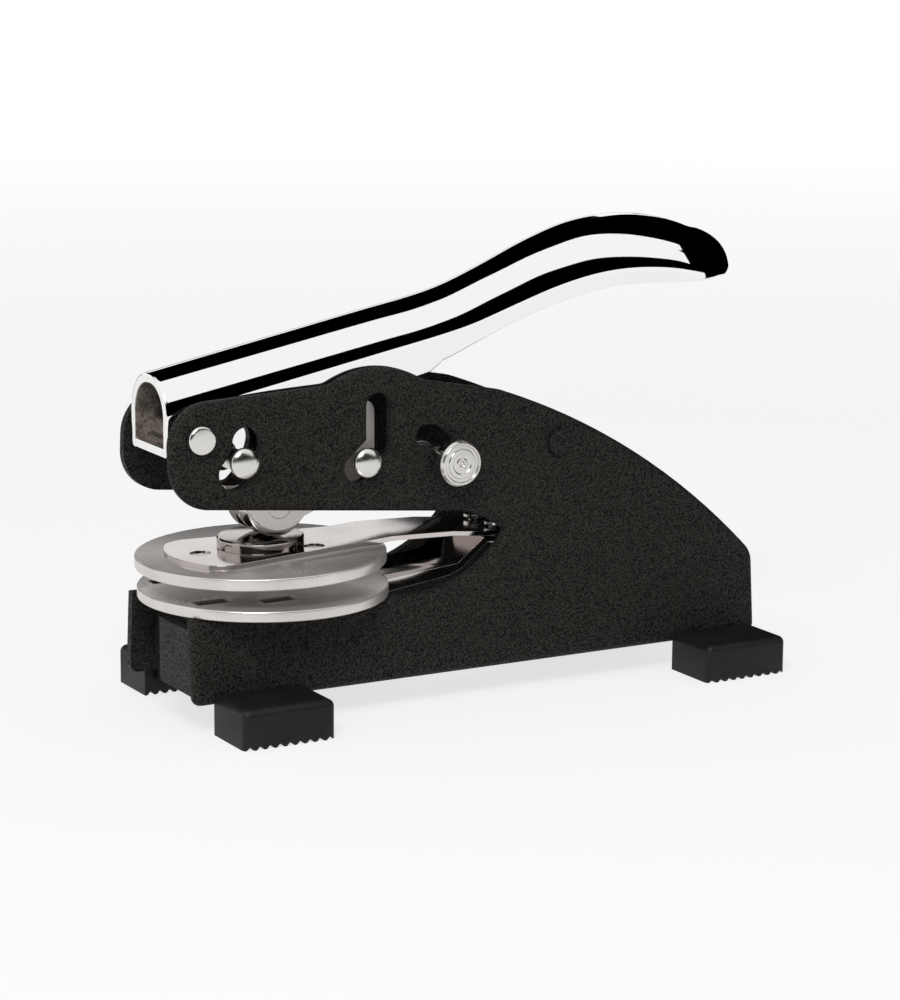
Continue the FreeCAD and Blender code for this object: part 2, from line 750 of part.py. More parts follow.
def rubber_foot(name, start_x, side):
    """A rubber block with a serrated sole, slipped over its steel ear."""
    piece = Piece(name)
    inner = S.plate_half
    outer = S.plate_half + S.foot_wide
    block = piece.sketch("YZ", start_x)
    box(block, side * inner, 0.0, side * outer, S.foot_high)
    piece.pad(block, S.foot_long)

    def shoulder(edge):
        box_ = edge.BoundBox
        top = box_.ZMin > S.foot_high.value - 0.01
        inner_face = abs(abs(box_.Center.y) - inner.value) < 0.01 and box_.YLength < 0.01
        upright = box_.ZLength > 1 and abs(abs(box_.Center.y) - outer.value) < 0.01
        return (top and not inner_face) or upright
    piece.fillet(shoulder, S.foot_round)
    pocket = piece.sketch("YZ", start_x + S.ear_side)
    reach = outer - S.foot_skin
    box(pocket, side * (inner - 1), S.ear_z, side * reach, S.ear_z + S.plate_thick)
    piece.cut(pocket, S.foot_long - S.ear_side * 2, flip=True)
    notch = piece.sketch("XZ")
    half = S.ridge_wide / 2
    first = start_x + (S.foot_long - S.ridge_pitch * 8) / 2
    outline(notch, [(first - half, -0.5), (first - half, 0.0), (first, S.ridge_deep),
                    (first + half, 0.0), (first + half, -0.5)])
    grooves = piece.cut(notch)
    row = piece.body.newObject("PartDesign::LinearPattern", "Ridges")
    row.Originals = [grooves]
    row.Direction = (notch, ["H_Axis"])
    row.Occurrences = 9
    row.Length = S.ridge_pitch.value * 8
    row.setExpression("Length", (S.ridge_pitch * 8).text)
    piece.body.Tip = row
    doc.recompute()


# ---------------------------------------------------------------- lever

def grip_section(piece, distance, half, crown, low, roundness, shrink):
    """One section across the grip: two legs, two corner arcs and the top between them."""
    sketch = piece.sketch("YZ", distance)
    half = half - shrink
    crown = crown - shrink
    radius = half * roundness
    flat = half - radius
    outline(sketch, [
        (-half, low), (half, low), (half, crown - radius, "ccw", radius),
        (flat, crown), (-flat, crown, "ccw", radius), (-half, crown - radius),
    ])
    return sketch


def grip_size(section, part):
    return getattr(S, f"grip_{section}_{part}")


def grip_loft(piece, kind, shrink, drop):
    """Loft the grip, or with shrink its hollow, through the sections."""
    sections = []
    for name in GRIP_SECTIONS:
        if shrink and name == "end":
            continue
        sections.append(grip_section(
            piece, grip_size(name, "along"), LEVER_HALF + grip_size(name, "wider"),
            grip_size(name, "crown"), grip_size(name, "low") - drop,
            grip_size(name, "corner"), shrink))
    loft = piece.body.newObject("PartDesign::" + kind, kind)
    loft.Profile = sections[0]
    loft.Sections = sections[1:]
    loft.Ruled = False
    loft.Closed = False
    doc.recompute()
    return loft


LEVER_START = -S.lever_front * 2
LEVER_BEFORE = -S.lever_front * 4      # well in front of the lever
LEVER_BELOW = LINK_LEVER_Z - S.lug_round * 2


def channel_section(piece, start, shrink, low):
    """The section of the straight channel, or with shrink that of its hollow."""
    sketch = piece.sketch("YZ", start)
    half = LEVER_HALF - shrink
    crown = S.lever_crown_z - shrink
    radius = half * S.grip_root_corner
    return outline(sketch, [
        (-half, low), (half, low), (half, crown - radius, "ccw", radius),
        (half - radius, crown), (radius - half, crown, "ccw", radius), (-half, crown - radius),
    ])


def lever():
    piece = Piece("lever", "lever")
    long = S.grip_root_along - LEVER_START
    piece.pad(channel_section(piece, LEVER_START, 0.0, LEVER_BELOW), long)
    grip_loft(piece, "AdditiveLoft", 0.0, 0.0)
    hollow = channel_section(piece, LEVER_START - 1, S.lever_wall, LEVER_BELOW - 1)
    piece.cut(hollow, long + 1, flip=True)
    grip_loft(piece, "SubtractiveLoft", S.lever_wall, 1.0)
    lever_side_cut(piece)
    lever_sill(piece)
    lever_front_cut(piece)
    holes = piece.sketch("XZ")
    circle(holes, 0.0, 0.0, S.pivot_dia + S.running_fit * 2)
    circle(holes, LINK_LEVER_X, LINK_LEVER_Z, S.link_pin_dia)
    piece.cut(holes)


def lever_side_cut(piece):
    """Trim the legs to their side view: front sill, pin lugs and the long lower edge."""
    legs = piece.sketch("XZ")
    r = S.lug_round
    front = LINK_LEVER_X + r * cosine(192)
    rear = S.grip_root_along + 0.5
    outline(legs, [
        (LEVER_BEFORE, S.lever_sill_z),
        (S.lever_sill_rear, S.lever_sill_z),
        (S.leg_step_x, S.leg_step_z),
        (front, S.leg_step_z),
        (front, LINK_LEVER_Z + r * sine(192), "ccw", r),
        (LINK_LEVER_X + r * cosine(330), LINK_LEVER_Z + r * sine(330)),
        (S.leg_relief_x, S.leg_relief_z),
        (S.leg_knee_x, S.leg_knee_z),
        (rear, S.grip_root_low),
        (rear, LEVER_BELOW * 1.5),
        (LEVER_BEFORE, LEVER_BELOW * 1.5),
    ])
    piece.cut(legs)


def lever_sill(piece):
    """The sill that closes the channel under the pivot, at the front."""
    sill = piece.sketch("XZ")
    box(sill, LEVER_START, S.lever_sill_z, S.lever_sill_rear,
        S.lever_sill_z + S.lever_sill_thick)
    piece.pad(sill, LEVER_HALF * 2, midplane=True)

    def lower_corner(edge):
        ends = [v.Point for v in edge.Vertexes]
        return (len(ends) == 2 and all(abs(p.z - S.lever_sill_z.value) < 0.01 for p in ends)
                and all(abs(abs(p.y) - LEVER_HALF.value) < 0.01 for p in ends)
                and all(p.x < S.lever_sill_rear.value + 0.01 for p in ends))
    piece.fillet(lower_corner, S.lever_sill_round)


def lever_front_cut(piece):
    """Cut the front face upright when the lever is at rest."""
    slope = tangent(S.lever_tilt)
    front = -S.lever_front
    reach = S.lever_crown_z * 2
    face = piece.sketch("XZ")
    outline(face, [
        (front - slope * reach, -reach), (front + slope * reach, reach),
        (LEVER_BEFORE, reach), (LEVER_BEFORE, -reach),
    ])
    piece.cut(face)


# ---------------------------------------------------------------- press link

def link_pin():
    """Riveted in the lever's lugs; its round heads stand outside the side plates."""
    outer = plate_outer(S.link_pin_z - S.link_pin_head_dia) + S.head_seat
    cross_pin("link_pin", S.link_pin_x, S.link_pin_z, [
        (outer, S.link_pin_dia), (outer + S.link_pin_head_high, S.link_pin_head_dia)],
        round_head=S.link_pin_head_high * 0.9)


def guide_pin():
    """Riveted in the press link; it runs in the cranked slots of the plates."""
    outer = plate_outer(S.guide_z - S.guide_head_dia) + S.head_seat
    cross_pin("guide_pin", S.guide_x, S.guide_z, [
        (outer, S.guide_dia), (outer + S.guide_head_high, S.guide_head_dia)],
        round_head=S.guide_head_high * 0.9)


def link_outline(sketch):
    """Side view of a link plate: pin eye, round lobe beside the roller and tall tail."""
    eye = S.link_eye
    lobe = S.link_lobe
    low = ROLLER_Z + S.link_lobe_up
    return outline(sketch, [
        (S.link_pin_x - eye * sine(50), S.link_pin_z - eye * cosine(50)),
        (S.link_lobe_x - lobe * sine(60), low - lobe * cosine(60), "ccw", lobe),
        (S.link_lobe_x + lobe * sine(50), low - lobe * cosine(50)),
        (S.link_tail_x, S.guide_z - eye),
        (S.link_tail_x, S.link_top_z),
        (S.guide_x - eye, S.link_top_z),
        (S.link_pin_x + eye * sine(10), S.link_pin_z + eye * cosine(10), "ccw", eye),
    ])


def press_link():
    """Two stamped plates that hold the rollers between them and push them down."""
    piece = Piece("press_link")
    on_both_sides(piece, LINK_INNER, LINK_OUTER, link_outline)
    for x, z in ((S.link_tail_x, S.guide_z - S.link_eye), (S.link_tail_x, S.link_top_z),
                 (S.guide_x - S.link_eye, S.link_top_z)):
        piece.fillet(upright_at(x, z), S.link_eye * 0.5)
    holes = piece.sketch("XZ")
    circle(holes, S.link_pin_x, S.link_pin_z, S.link_pin_dia + S.running_fit * 2)
    circle(holes, S.guide_x, S.guide_z, S.guide_dia)
    circle(holes, S.roller_x, ROLLER_Z, S.roller_pin_dia)
    piece.cut(holes)


def link_bushes():
    """Two tubes on the link pin that keep the link plates apart."""
    piece = Piece("link_bushes")

    def ring(sketch):
        circle(sketch, S.link_pin_x, S.link_pin_z, S.bush_dia)
        circle(sketch, S.link_pin_x, S.link_pin_z, S.link_pin_dia)
    on_both_sides(piece, S.air_gap / 2, ROLLER_HALF, ring)


def rollers():
    cross_pin("roller_pin", S.roller_x, ROLLER_Z, [(LINK_OUTER, S.roller_pin_dia)])
    start = S.air_gap / 2
    for name, side, flip in (("left_roller", -1, False), ("right_roller", 1, True)):
        piece = Piece(name)
        ring = piece.sketch("XZ", start * -side)
        circle(ring, S.roller_x, ROLLER_Z, S.roller_dia)
        circle(ring, S.roller_x, ROLLER_Z, S.roller_pin_dia + S.running_fit * 2)
        piece.pad(ring, ROLLER_HALF - start, flip=flip)

        def rim(edge):
            return (len(edge.Vertexes) == 1
                    and abs(edge.BoundBox.XLength - S.roller_dia.value) < 0.05)
        piece.fillet(rim, S.edge_round * 0.8)


# ---------------------------------------------------------------- die clip

def disc_edge(edge):
    return len(edge.Vertexes) == 1 and abs(edge.BoundBox.XLength - S.disc_dia.value) < 0.1


def lower_disc():
    piece = Piece("lower_die_disc")
    disc = piece.sketch("XY", S.lower_disc_z)
    circle(disc, 0.0, 0.0, S.disc_dia)
    piece.pad(disc, S.disc_thick)
    piece.fillet(disc_edge, S.disc_round)
    slots = piece.sketch("XY", LOWER_DISC_TOP)
    long = S.die_slot_long / 2
    wide = S.die_slot_wide / 2
    for x, y in ((S.die_slot_front_x, S.die_slot_front_y), (S.die_slot_mid_x, S.die_slot_mid_y)):
        for side in (-1, 1):
            box(slots, x - long, side * y - wide, x + long, side * y + wide)
    piece.cut(slots, S.disc_thick * 0.6)


def upper_disc():
    piece = Piece("upper_die_disc", "clip")
    disc = piece.sketch("XY", FLAT_DISC_Z)
    circle(disc, FLAT_AXIS_X, 0.0, S.disc_dia)
    piece.pad(disc, S.upper_disc_thick)
    piece.fillet(disc_edge, S.disc_round)


def rivet_places():
    """One rivet in front of the boss and two behind it."""
    yield FLAT_AXIS_X + S.disc_rivet_front_x, dim(0.0)
    for side in (-1, 1):
        yield FLAT_AXIS_X + S.disc_rivet_rear_x, side * S.disc_rivet_rear_y


def press_boss():
    piece = Piece("press_boss", "clip")
    disc = piece.sketch("XY", FLAT_BOSS_Z)
    circle(disc, FLAT_AXIS_X, 0.0, S.boss_dia)
    piece.pad(disc, S.boss_high)
    top = (FLAT_BOSS_Z + S.boss_high).value

    def rim(edge):
        return len(edge.Vertexes) == 1 and edge.BoundBox.ZMin > top - 0.05
    piece.chamfer(rim, S.boss_chamfer)


def disc_rivets():
    piece = Piece("disc_rivets", "clip")
    heads = piece.sketch("XY", FLAT_ARM_Z)
    for x, y in rivet_places():
        circle(heads, x, y, S.disc_rivet_dia)
    piece.pad(heads, S.disc_rivet_high)


def tongue_plan():
    """Half of the plan of the upper arm, from the round front to the tail, at -Y."""
    nose = S.tongue_nose_half
    reach = Dim(f"sqrt({S.tongue_arc.text}^2 - {nose.text}^2)",
                math.sqrt(S.tongue_arc.value ** 2 - nose.value ** 2))
    return [
        (FLAT_AXIS_X - reach, nose),
        (FLAT_AXIS_X + S.tongue_shoulder_x, S.tongue_half),
        (S.tongue_rear_x - S.flex_x, S.arm_half),
        (S.arm_end_x - S.flex_x, S.arm_half),
    ]


def upper_arm():
    """The strip above: a wide tongue on the disc, a narrower arm and a cranked tail."""
    piece = Piece("upper_clip_arm", "clip")

    def flat_x(size):
        return size - S.flex_x
    thick = S.arm_thick
    front = FLAT_AXIS_X - S.tongue_arc - 1
    tongue = FLAT_ARM_Z
    neck = tongue + S.arm_rise
    bend = tongue - S.arm_sag
    tail = S.flex_gap / 2
    side = piece.sketch("XZ")
    outline(side, [
        (front, tongue), (flat_x(S.tongue_rear_x), tongue), (flat_x(S.arm_neck_x), neck),
        (flat_x(S.arm_bend_x), bend), (flat_x(S.arm_tail_x), tail),
        (flat_x(S.arm_end_x), tail), (flat_x(S.arm_end_x), tail + thick),
        (flat_x(S.arm_tail_x), tail + thick), (flat_x(S.arm_bend_x), bend + thick),
        (flat_x(S.arm_neck_x), neck + thick), (flat_x(S.tongue_rear_x), tongue + thick),
        (front, tongue + thick),
    ])
    piece.pad(side, S.tongue_half * 2.2, midplane=True)
    around = piece.sketch("XY", FLAT_ARM_Z)
    box(around, front - 1, -S.tongue_half * 1.3, flat_x(S.arm_end_x + 1), S.tongue_half * 1.3)
    nose, shoulder, neck_corner, end = tongue_plan()
    outline(around, [
        (nose[0], nose[1], "ccw", S.tongue_arc),
        (nose[0], -nose[1], "ccw", S.tongue_shoulder_round),
        (shoulder[0], -shoulder[1]), (neck_corner[0], -neck_corner[1]), (end[0], -end[1]),
        end, neck_corner, (shoulder[0], shoulder[1], "ccw", S.tongue_shoulder_round),
    ])
    piece.cut(around)
    holes = piece.sketch("XY", FLAT_ARM_Z)
    for x, y in rivet_places():
        circle(holes, x, y, S.disc_rivet_dia)
    for hand in (-1, 1):
        circle(holes, 0.0, hand * S.tail_rivet_y, S.tail_rivet_dia + S.air_gap * 2)
    piece.cut(holes)


def lower_arm():
    """The strip below: a tongue under the lower disc and a channel that climbs to the tail."""
    piece = Piece("lower_clip_arm")
    thick = S.arm_thick
    start = DISC_RADIUS - 4
    low = S.lower_disc_z - thick
    top = S.lower_arm_z
    bend_top = top + S.lower_arm_rise
    tail_top = S.flex_z - S.flex_gap / 2
    side = piece.sketch("XZ")
    outline(side, [
        (start, low), (S.lower_bend_x - 2, bend_top - S.lower_arm_lip),
        (S.lower_bend_x + thick, bend_top - thick), (S.arm_tail_x + thick * 0.6, tail_top - thick),
        (S.arm_end_x, tail_top - thick), (S.arm_end_x, tail_top),
        (S.arm_tail_x, tail_top), (S.lower_bend_x, bend_top), (start, top - 0.2),
    ])
    piece.pad(side, S.lower_arm_half * 2, midplane=True)
    under = piece.sketch("XZ")
    outline(under, [
        (start - 2, low - 4), (S.lower_bend_x, low - 4), (S.lower_bend_x, bend_top - thick),
        (start - 2, top - 0.4 - thick),
    ])
    piece.feature("Pocket", under, Length=(S.lower_arm_half - thick) * 2, Midplane=True)
    clear = piece.sketch("XY", S.lower_disc_z)
    circle(clear, 0.0, 0.0, S.disc_dia + 0.2)
    piece.cut(clear, 20.0, flip=True)
    tongue = piece.sketch("XY", low)
    outline(tongue, [
        (S.lower_tongue_front_x, -S.lower_tongue_half * 0.5),
        (S.lower_tongue_front_x + S.lower_tongue_half * 0.5, -S.lower_tongue_half),
        (start - 4, -S.lower_tongue_half), (start + 1, -S.lower_arm_half),
        (start + 1, S.lower_arm_half), (start - 4, S.lower_tongue_half),
        (S.lower_tongue_front_x + S.lower_tongue_half * 0.5, S.lower_tongue_half),
        (S.lower_tongue_front_x, S.lower_tongue_half * 0.5),
    ])
    piece.pad(tongue, thick)
    holes = piece.sketch("XY", tail_top)
    for hand in (-1, 1):
        circle(holes, S.flex_x, hand * S.tail_rivet_y, S.tail_rivet_dia)
    piece.cut(holes, thick + 1)


def tail_rivets():
    """Two rivets that hold the arms together at the tail, where the clip flexes."""
    piece = Piece("tail_rivets")
    low = S.flex_z - S.flex_gap / 2 - S.arm_thick
    top = S.flex_z + S.flex_gap / 2 + S.arm_thick + S.air_gap
    shanks = piece.sketch("XY", low)
    lower = piece.sketch("XY", low - 0.8)
    upper = piece.sketch("XY", top)
    for hand in (-1, 1):
        circle(shanks, S.flex_x, hand * S.tail_rivet_y, S.tail_rivet_dia)
        circle(lower, S.flex_x, hand * S.tail_rivet_y, S.tail_rivet_head_dia)
        circle(upper, S.flex_x, hand * S.tail_rivet_y, S.tail_rivet_head_dia)
    piece.pad(shanks, top - low)
    piece.pad(lower, 0.8)
    piece.pad(upper, 0.8)


# ---------------------------------------------------------------- latch

def latch():
    """A crank inside the left plate; its knob swings along the quarter-round slot."""
    pin_x = S.latch_x + S.latch_crank
    hook_x = S.latch_x + S.latch_hook_long * cosine(S.latch_hook_angle)
    hook_z = S.latch_z + S.latch_hook_long * sine(S.latch_hook_angle)
    face = plate_inner(S.latch_z + S.latch_crank + S.latch_hook_wide) - S.air_gap
    plate = Piece("latch_plate")
    hub = plate.sketch("XZ", face - S.latch_thick)
    circle(hub, S.latch_x, S.latch_z, S.latch_boss * 2)
    plate.pad(hub, S.latch_thick)
    crank = plate.sketch("XZ", face - S.latch_thick)
    straight_slot(crank, S.latch_x, S.latch_z, pin_x, dim(S.latch_z), S.latch_hook_wide)
    plate.pad(crank, S.latch_thick)
    hook = plate.sketch("XZ", face - S.latch_thick)
    straight_slot(hook, S.latch_x, S.latch_z, hook_x, hook_z, S.latch_hook_wide)
    plate.pad(hook, S.latch_thick)
    holes = plate.sketch("XZ")
    circle(holes, S.latch_x, S.latch_z, S.latch_stud_dia + S.running_fit * 2)
    circle(holes, pin_x, S.latch_z, S.knob_pin_dia)
    plate.cut(holes)

    stud = Piece("latch_stud")
    body = stud.sketch("XZ", face - S.latch_thick - 0.1)
    circle(body, S.latch_x, S.latch_z, S.latch_stud_dia)
    stud.pad(body, plate_inner(S.latch_z + S.latch_stud_dia / 2) - face + S.latch_thick + 0.1)
    cap = stud.sketch("XZ", face - S.latch_thick - 1.1)
    circle(cap, S.latch_x, S.latch_z, S.latch_stud_dia + 2)
    stud.pad(cap, 1.0)

    seat = plate_outer(S.latch_z - S.knob_dia / 2) + S.knob_gap
    stem = Piece("knob_stem")
    rod = stem.sketch("XZ", face - S.latch_thick)
    circle(rod, pin_x, S.latch_z, S.knob_pin_dia)
    stem.pad(rod, seat - face + S.latch_thick + S.knob_long * 0.5)

    knob = Piece("latch_knob")
    disc = knob.sketch("XZ", seat)
    circle(disc, pin_x, S.latch_z, S.knob_dia)
    knob.pad(disc, S.knob_long)

    def rim(edge):
        return (len(edge.Vertexes) == 1
                and abs(edge.BoundBox.XLength - S.knob_dia.value) < 0.05)
    knob.fillet(rim, 0.6)
    bore = knob.sketch("XZ", seat)
    circle(bore, pin_x, S.latch_z, S.knob_pin_dia)
    knob.cut(bore, S.knob_long * 0.5, flip=True)
    rings = knob.sketch("XZ", seat + S.knob_long)
    circle(rings, pin_x, S.latch_z, S.knob_dia * 0.74)
    circle(rings, pin_x, S.latch_z, S.knob_dia * 0.62)
    circle(rings, pin_x, S.latch_z, S.knob_dia * 0.22)
    knob.cut(rings, S.knob_ring_deep)


# ---------------------------------------------------------------- build and write

def build():
    side_plate("left_side_plate", -1)
    side_plate("right_side_plate", 1)
    base_bridge()
    rear_brace()
    rear_spacer()
    lever_pivot()
    rear_x = S.foot_front_x + S.foot_base
    for hand, side in (("left", -1), ("right", 1)):
        rubber_foot(f"front_{hand}_foot", S.foot_front_x, side)
        rubber_foot(f"rear_{hand}_foot", rear_x, side)
    lever()
    link_pin()
    press_link()
    link_bushes()
    guide_pin()
    rollers()
    lower_disc()
    lower_arm()
    tail_rivets()
    upper_disc()
    upper_arm()
    press_boss()
    disc_rivets()
    latch()


def check():
    """Stop unless every object recomputed and every sub-part is a sound shape."""
    doc.recompute()
    for item in doc.Objects:
        if "Invalid" in item.State or "Error" in item.State:
            raise RuntimeError(f"{item.Label} did not recompute: {item.State}")
    for body in PIECES:
        if body.Shape.isNull() or not body.Shape.isValid():
            raise RuntimeError(f"{body.Label} has no sound shape")


def write():
    os.makedirs("parts", exist_ok=True)
    whole = FreeCAD.BoundBox()
    for body in PIECES:
        body.Shape.exportStep(f"parts/{body.Label}.step")
        whole.add(body.Shape.BoundBox)
        print(f"{body.Label:20} {len(body.Shape.Solids)} solid  "
              f"{body.Shape.Volume:10.1f} mm3")
    print("whole", [round(v, 3) for v in (whole.XMin, whole.XMax, whole.YMin, whole.YMax,
                                          whole.ZMin, whole.ZMax)])


build()
check()
write()
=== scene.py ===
# %% [markdown]
# # A desk seal embosser, dressed in Blender
#
# The machine is a small hand press. Two black steel plates lean together over a rubber-footed
# stand. A chromed lever pushes a link with two rollers down on a spring clip, and the clip
# carries two round steel discs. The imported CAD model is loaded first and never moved. What is
# made here is fitted to it, in metres.

# %% Load the frame
import json
import math

import bmesh
import bpy
import numpy as np
from mathutils import Matrix, Vector


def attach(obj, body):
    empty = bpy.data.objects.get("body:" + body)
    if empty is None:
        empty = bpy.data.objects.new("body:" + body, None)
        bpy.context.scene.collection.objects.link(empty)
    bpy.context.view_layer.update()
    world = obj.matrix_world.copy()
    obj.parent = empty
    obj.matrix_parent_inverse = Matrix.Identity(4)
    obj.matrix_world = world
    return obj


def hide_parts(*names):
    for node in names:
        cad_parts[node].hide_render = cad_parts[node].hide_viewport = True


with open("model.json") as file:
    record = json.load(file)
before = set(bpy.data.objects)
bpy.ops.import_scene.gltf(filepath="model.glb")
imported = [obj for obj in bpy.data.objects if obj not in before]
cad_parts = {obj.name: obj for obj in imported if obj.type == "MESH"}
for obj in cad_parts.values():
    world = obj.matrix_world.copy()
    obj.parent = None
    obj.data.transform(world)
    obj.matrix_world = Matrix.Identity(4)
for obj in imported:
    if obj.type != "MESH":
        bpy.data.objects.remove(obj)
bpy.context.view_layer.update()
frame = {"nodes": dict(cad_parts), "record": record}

MM = 0.001
SLOT_OF = {row["node"]: row["material_slot"] for row in frame["record"]["subparts"]}
BODY_OF = {node: body for body, nodes in frame["record"]["behaviour"]["bodies"].items()
           for node in nodes}

# %% [markdown]
# ## Camera
#
# A long lens from a little above the left front corner. The viewing direction is a turn
# round the machine, a height above the horizon and a slight roll, so the camera's axes can
# be worked out as three vectors and put straight into its matrix.

# %% Camera
TURN = math.radians(-29.72)
RISE = math.radians(11.61)
ROLL = math.radians(0.43)
AWAY = 674.0 * MM
AIM = Vector((1.275 * MM, 0.0, 40.57 * MM))
LONG_SIDE = 1000
FOCAL_PIXELS = 3045.6
SENSOR = 36.0
CLIP_RANGE = (0.01, 20.0)


def add_camera():
    """Place the camera at AWAY from AIM, looking at it, with its up vector rolled by ROLL."""
    back = Vector((math.sin(TURN) * math.cos(RISE), -math.cos(TURN) * math.cos(RISE),
                   math.sin(RISE)))
    right = (-back).cross(Vector((0, 0, 1))).normalized()
    up = right.cross(-back)
    side = math.cos(ROLL) * right + math.sin(ROLL) * up
    top = math.cos(ROLL) * up - math.sin(ROLL) * right
    data = bpy.data.cameras.new("camera")
    data.sensor_width = SENSOR
    data.lens = FOCAL_PIXELS * SENSOR / LONG_SIDE
    data.clip_start, data.clip_end = CLIP_RANGE
    camera = bpy.data.objects.new("camera", data)
    bpy.context.scene.collection.objects.link(camera)
    spin = Matrix((side, top, back)).transposed().to_4x4()
    camera.matrix_world = Matrix.Translation(AIM + back * AWAY) @ spin
    bpy.context.scene.camera = camera
    return camera


camera = add_camera()
print("lens", round(camera.data.lens, 2), "mm")

# %% [markdown]
# ## Places
#
# The stand is measured from the die axis. The lever has a frame of its own: x runs along its
# channel from the pivot pin, tilted up at rest. The upper half of the clip has one too, from
# the line near its tail where the spring steel flexes. One function takes points out of
# either frame into the machine.

# %% Frames of the lever and the clip
DIE_X = -44.845
LEVER_FRAME = (DIE_X - 20.2, 61.7, math.radians(11.24))
CLIP_FRAME = (DIE_X + 55.0, 33.6, math.radians(1.2))
STAND_FRAME = (DIE_X, 0.0, 0.0)


def placed(x, y, z, place):
    """Points in millimetres, turned up by the frame's tilt and moved to its origin:
    X = x0 + x cos t - z sin t and Z = z0 + x sin t + z cos t, in metres."""
    x0, z0, tilt = place
    across = x0 + x * math.cos(tilt) - z * math.sin(tilt)
    height = z0 + x * math.sin(tilt) + z * math.cos(tilt)
    return np.stack(np.broadcast_arrays(across, y, height), axis=-1) * MM


# %% [markdown]
# ## Mesh helpers
#
# A surface is a grid: rows of points that are joined to their neighbours. The points are
# worked out as whole numpy arrays, and one helper turns them into a mesh. Its doubles are
# merged, so that poles and seams close, before the faces are turned outward.

# %% Grid to mesh
SAME_POINT, NO_LENGTH = 1e-7, 1e-8


def grid_faces(rows, columns, close_rows=False, close_columns=False):
    """Quads of a grid.  Point (i, j) has the number i * columns + j; a closed direction
    wraps round to its start."""
    i = np.arange(rows if close_rows else rows - 1)
    j = np.arange(columns if close_columns else columns - 1)
    i, j = np.meshgrid(i, j, indexing="ij")
    below, beside = (i + 1) % rows, (j + 1) % columns
    quads = np.stack([i * columns + j, i * columns + beside, below * columns + beside,
                      below * columns + j], axis=-1)
    return quads.reshape(-1, 4)


def prism_faces(n, base=0):
    """Faces of a closed prism: two rings of n points, numbered from base, and its ends."""
    sides = (grid_faces(2, n, close_columns=True) + base).tolist()
    return sides + [list(range(base, base + n)), list(range(base + n, base + 2 * n))]


def mesh_object(name, points, faces, sharp=None):
    """An object at the origin from points (in metres) and faces.  Edges over the sharp
    angle, in degrees, stay crisp; without one the whole surface is smooth."""
    mesh = bpy.data.meshes.new(name)
    mesh.from_pydata(np.asarray(points, float).reshape(-1, 3).tolist(), [],
                     [list(map(int, face)) for face in faces])
    clean = bmesh.new()
    clean.from_mesh(mesh)
    bmesh.ops.remove_doubles(clean, verts=clean.verts, dist=SAME_POINT)
    bmesh.ops.dissolve_degenerate(clean, edges=clean.edges, dist=NO_LENGTH)
    bmesh.ops.recalc_face_normals(clean, faces=clean.faces)
    clean.to_mesh(mesh)
    clean.free()
    mesh.shade_smooth()
    if sharp is not None:
        mesh.set_sharp_from_angle(angle=math.radians(sharp))
    thing = bpy.data.objects.new(name, mesh)
    bpy.context.scene.collection.objects.link(thing)
    return thing


# %% Rounded outline
ROUND_STEPS = 5


def rounded_outline(corners, radius, closed=False):
    """Round the corners of an outline: each one becomes an arc that touches both edges.
    radius is one number, or one for each corner."""
    corners = np.asarray(corners, float)
    radii = np.broadcast_to(radius, len(corners))
    points = []
    for k, (corner, r) in enumerate(zip(corners, radii)):
        ends = not closed and k in (0, len(corners) - 1)
        if ends or r <= 0:
            points.append(corner[None, :])
            continue
        a = corners[k - 1] - corner
        b = corners[(k + 1) % len(corners)] - corner
        a, b = a / np.linalg.norm(a), b / np.linalg.norm(b)
        half_angle = math.acos(np.clip(a @ b, -1, 1)) / 2
        centre = corner + (a + b) / np.linalg.norm(a + b) * r / math.sin(half_angle)
        start = corner + a * r / math.tan(half_angle) - centre
        finish = corner + b * r / math.tan(half_angle) - centre
        share = np.linspace(0, 1, ROUND_STEPS)[:, None]
        angle = math.pi - 2 * half_angle
        arc = (np.sin((1 - share) * angle) * start + np.sin(share * angle) * finish)
        points.append(centre + arc / math.sin(angle))
    return np.concatenate(points)


# %% Marked points, and pieces in place of nodes
def vertex_places(mesh):
    """The vertices of a mesh as rows of x, y and z, in millimetres."""
    place = np.empty(len(mesh.vertices) * 3)
    mesh.vertices.foreach_get("co", place)
    return place.reshape(-1, 3) / MM


def mark_points(mesh, name, chosen):
    """Write an attribute that is 1 at the chosen points and 0 at the others."""
    layer = mesh.attributes.new(name, "FLOAT", "POINT")
    layer.data.foreach_set("value", chosen.astype(float))


def stands_for(thing, *nodes, material):
    """Ride with the nodes' body, wear the given material, and hide the nodes."""
    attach(thing, BODY_OF[nodes[0]])
    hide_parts(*nodes)
    thing.data.materials.append(material)
    return thing


# %% [markdown]
# ## Node helpers
#
# Every finish below is a procedural node material. One function adds a node and fills its
# sockets: a number is set, and another node's socket is linked. Effects that several
# finishes share are node groups, which give out only numbers that change over a surface.

# %% Nodes
def add_node(tree, kind, values=None, **settings):
    """Add a shader node.  values maps an input's name or number to a value or a socket."""
    made = tree.nodes.new("ShaderNode" + kind)
    for name, value in settings.items():
        setattr(made, name, value)
    for key, value in (values or {}).items():
        if isinstance(value, bpy.types.NodeSocket):
            tree.links.new(value, made.inputs[key])
        else:
            made.inputs[key].default_value = value
    return made


def maths(tree, operation, a, b=0.0):
    """One Math node; a and b are numbers or sockets."""
    return add_node(tree, "Math", {0: a, 1: b}, operation=operation).outputs[0]


def remap(tree, value, low, high, low_out, high_out):
    """Stretch value from low..high to low_out..high_out, clamped at both ends."""
    return add_node(tree, "MapRange", {
        "Value": value, "From Min": low, "From Max": high,
        "To Min": low_out, "To Max": high_out}).outputs["Result"]


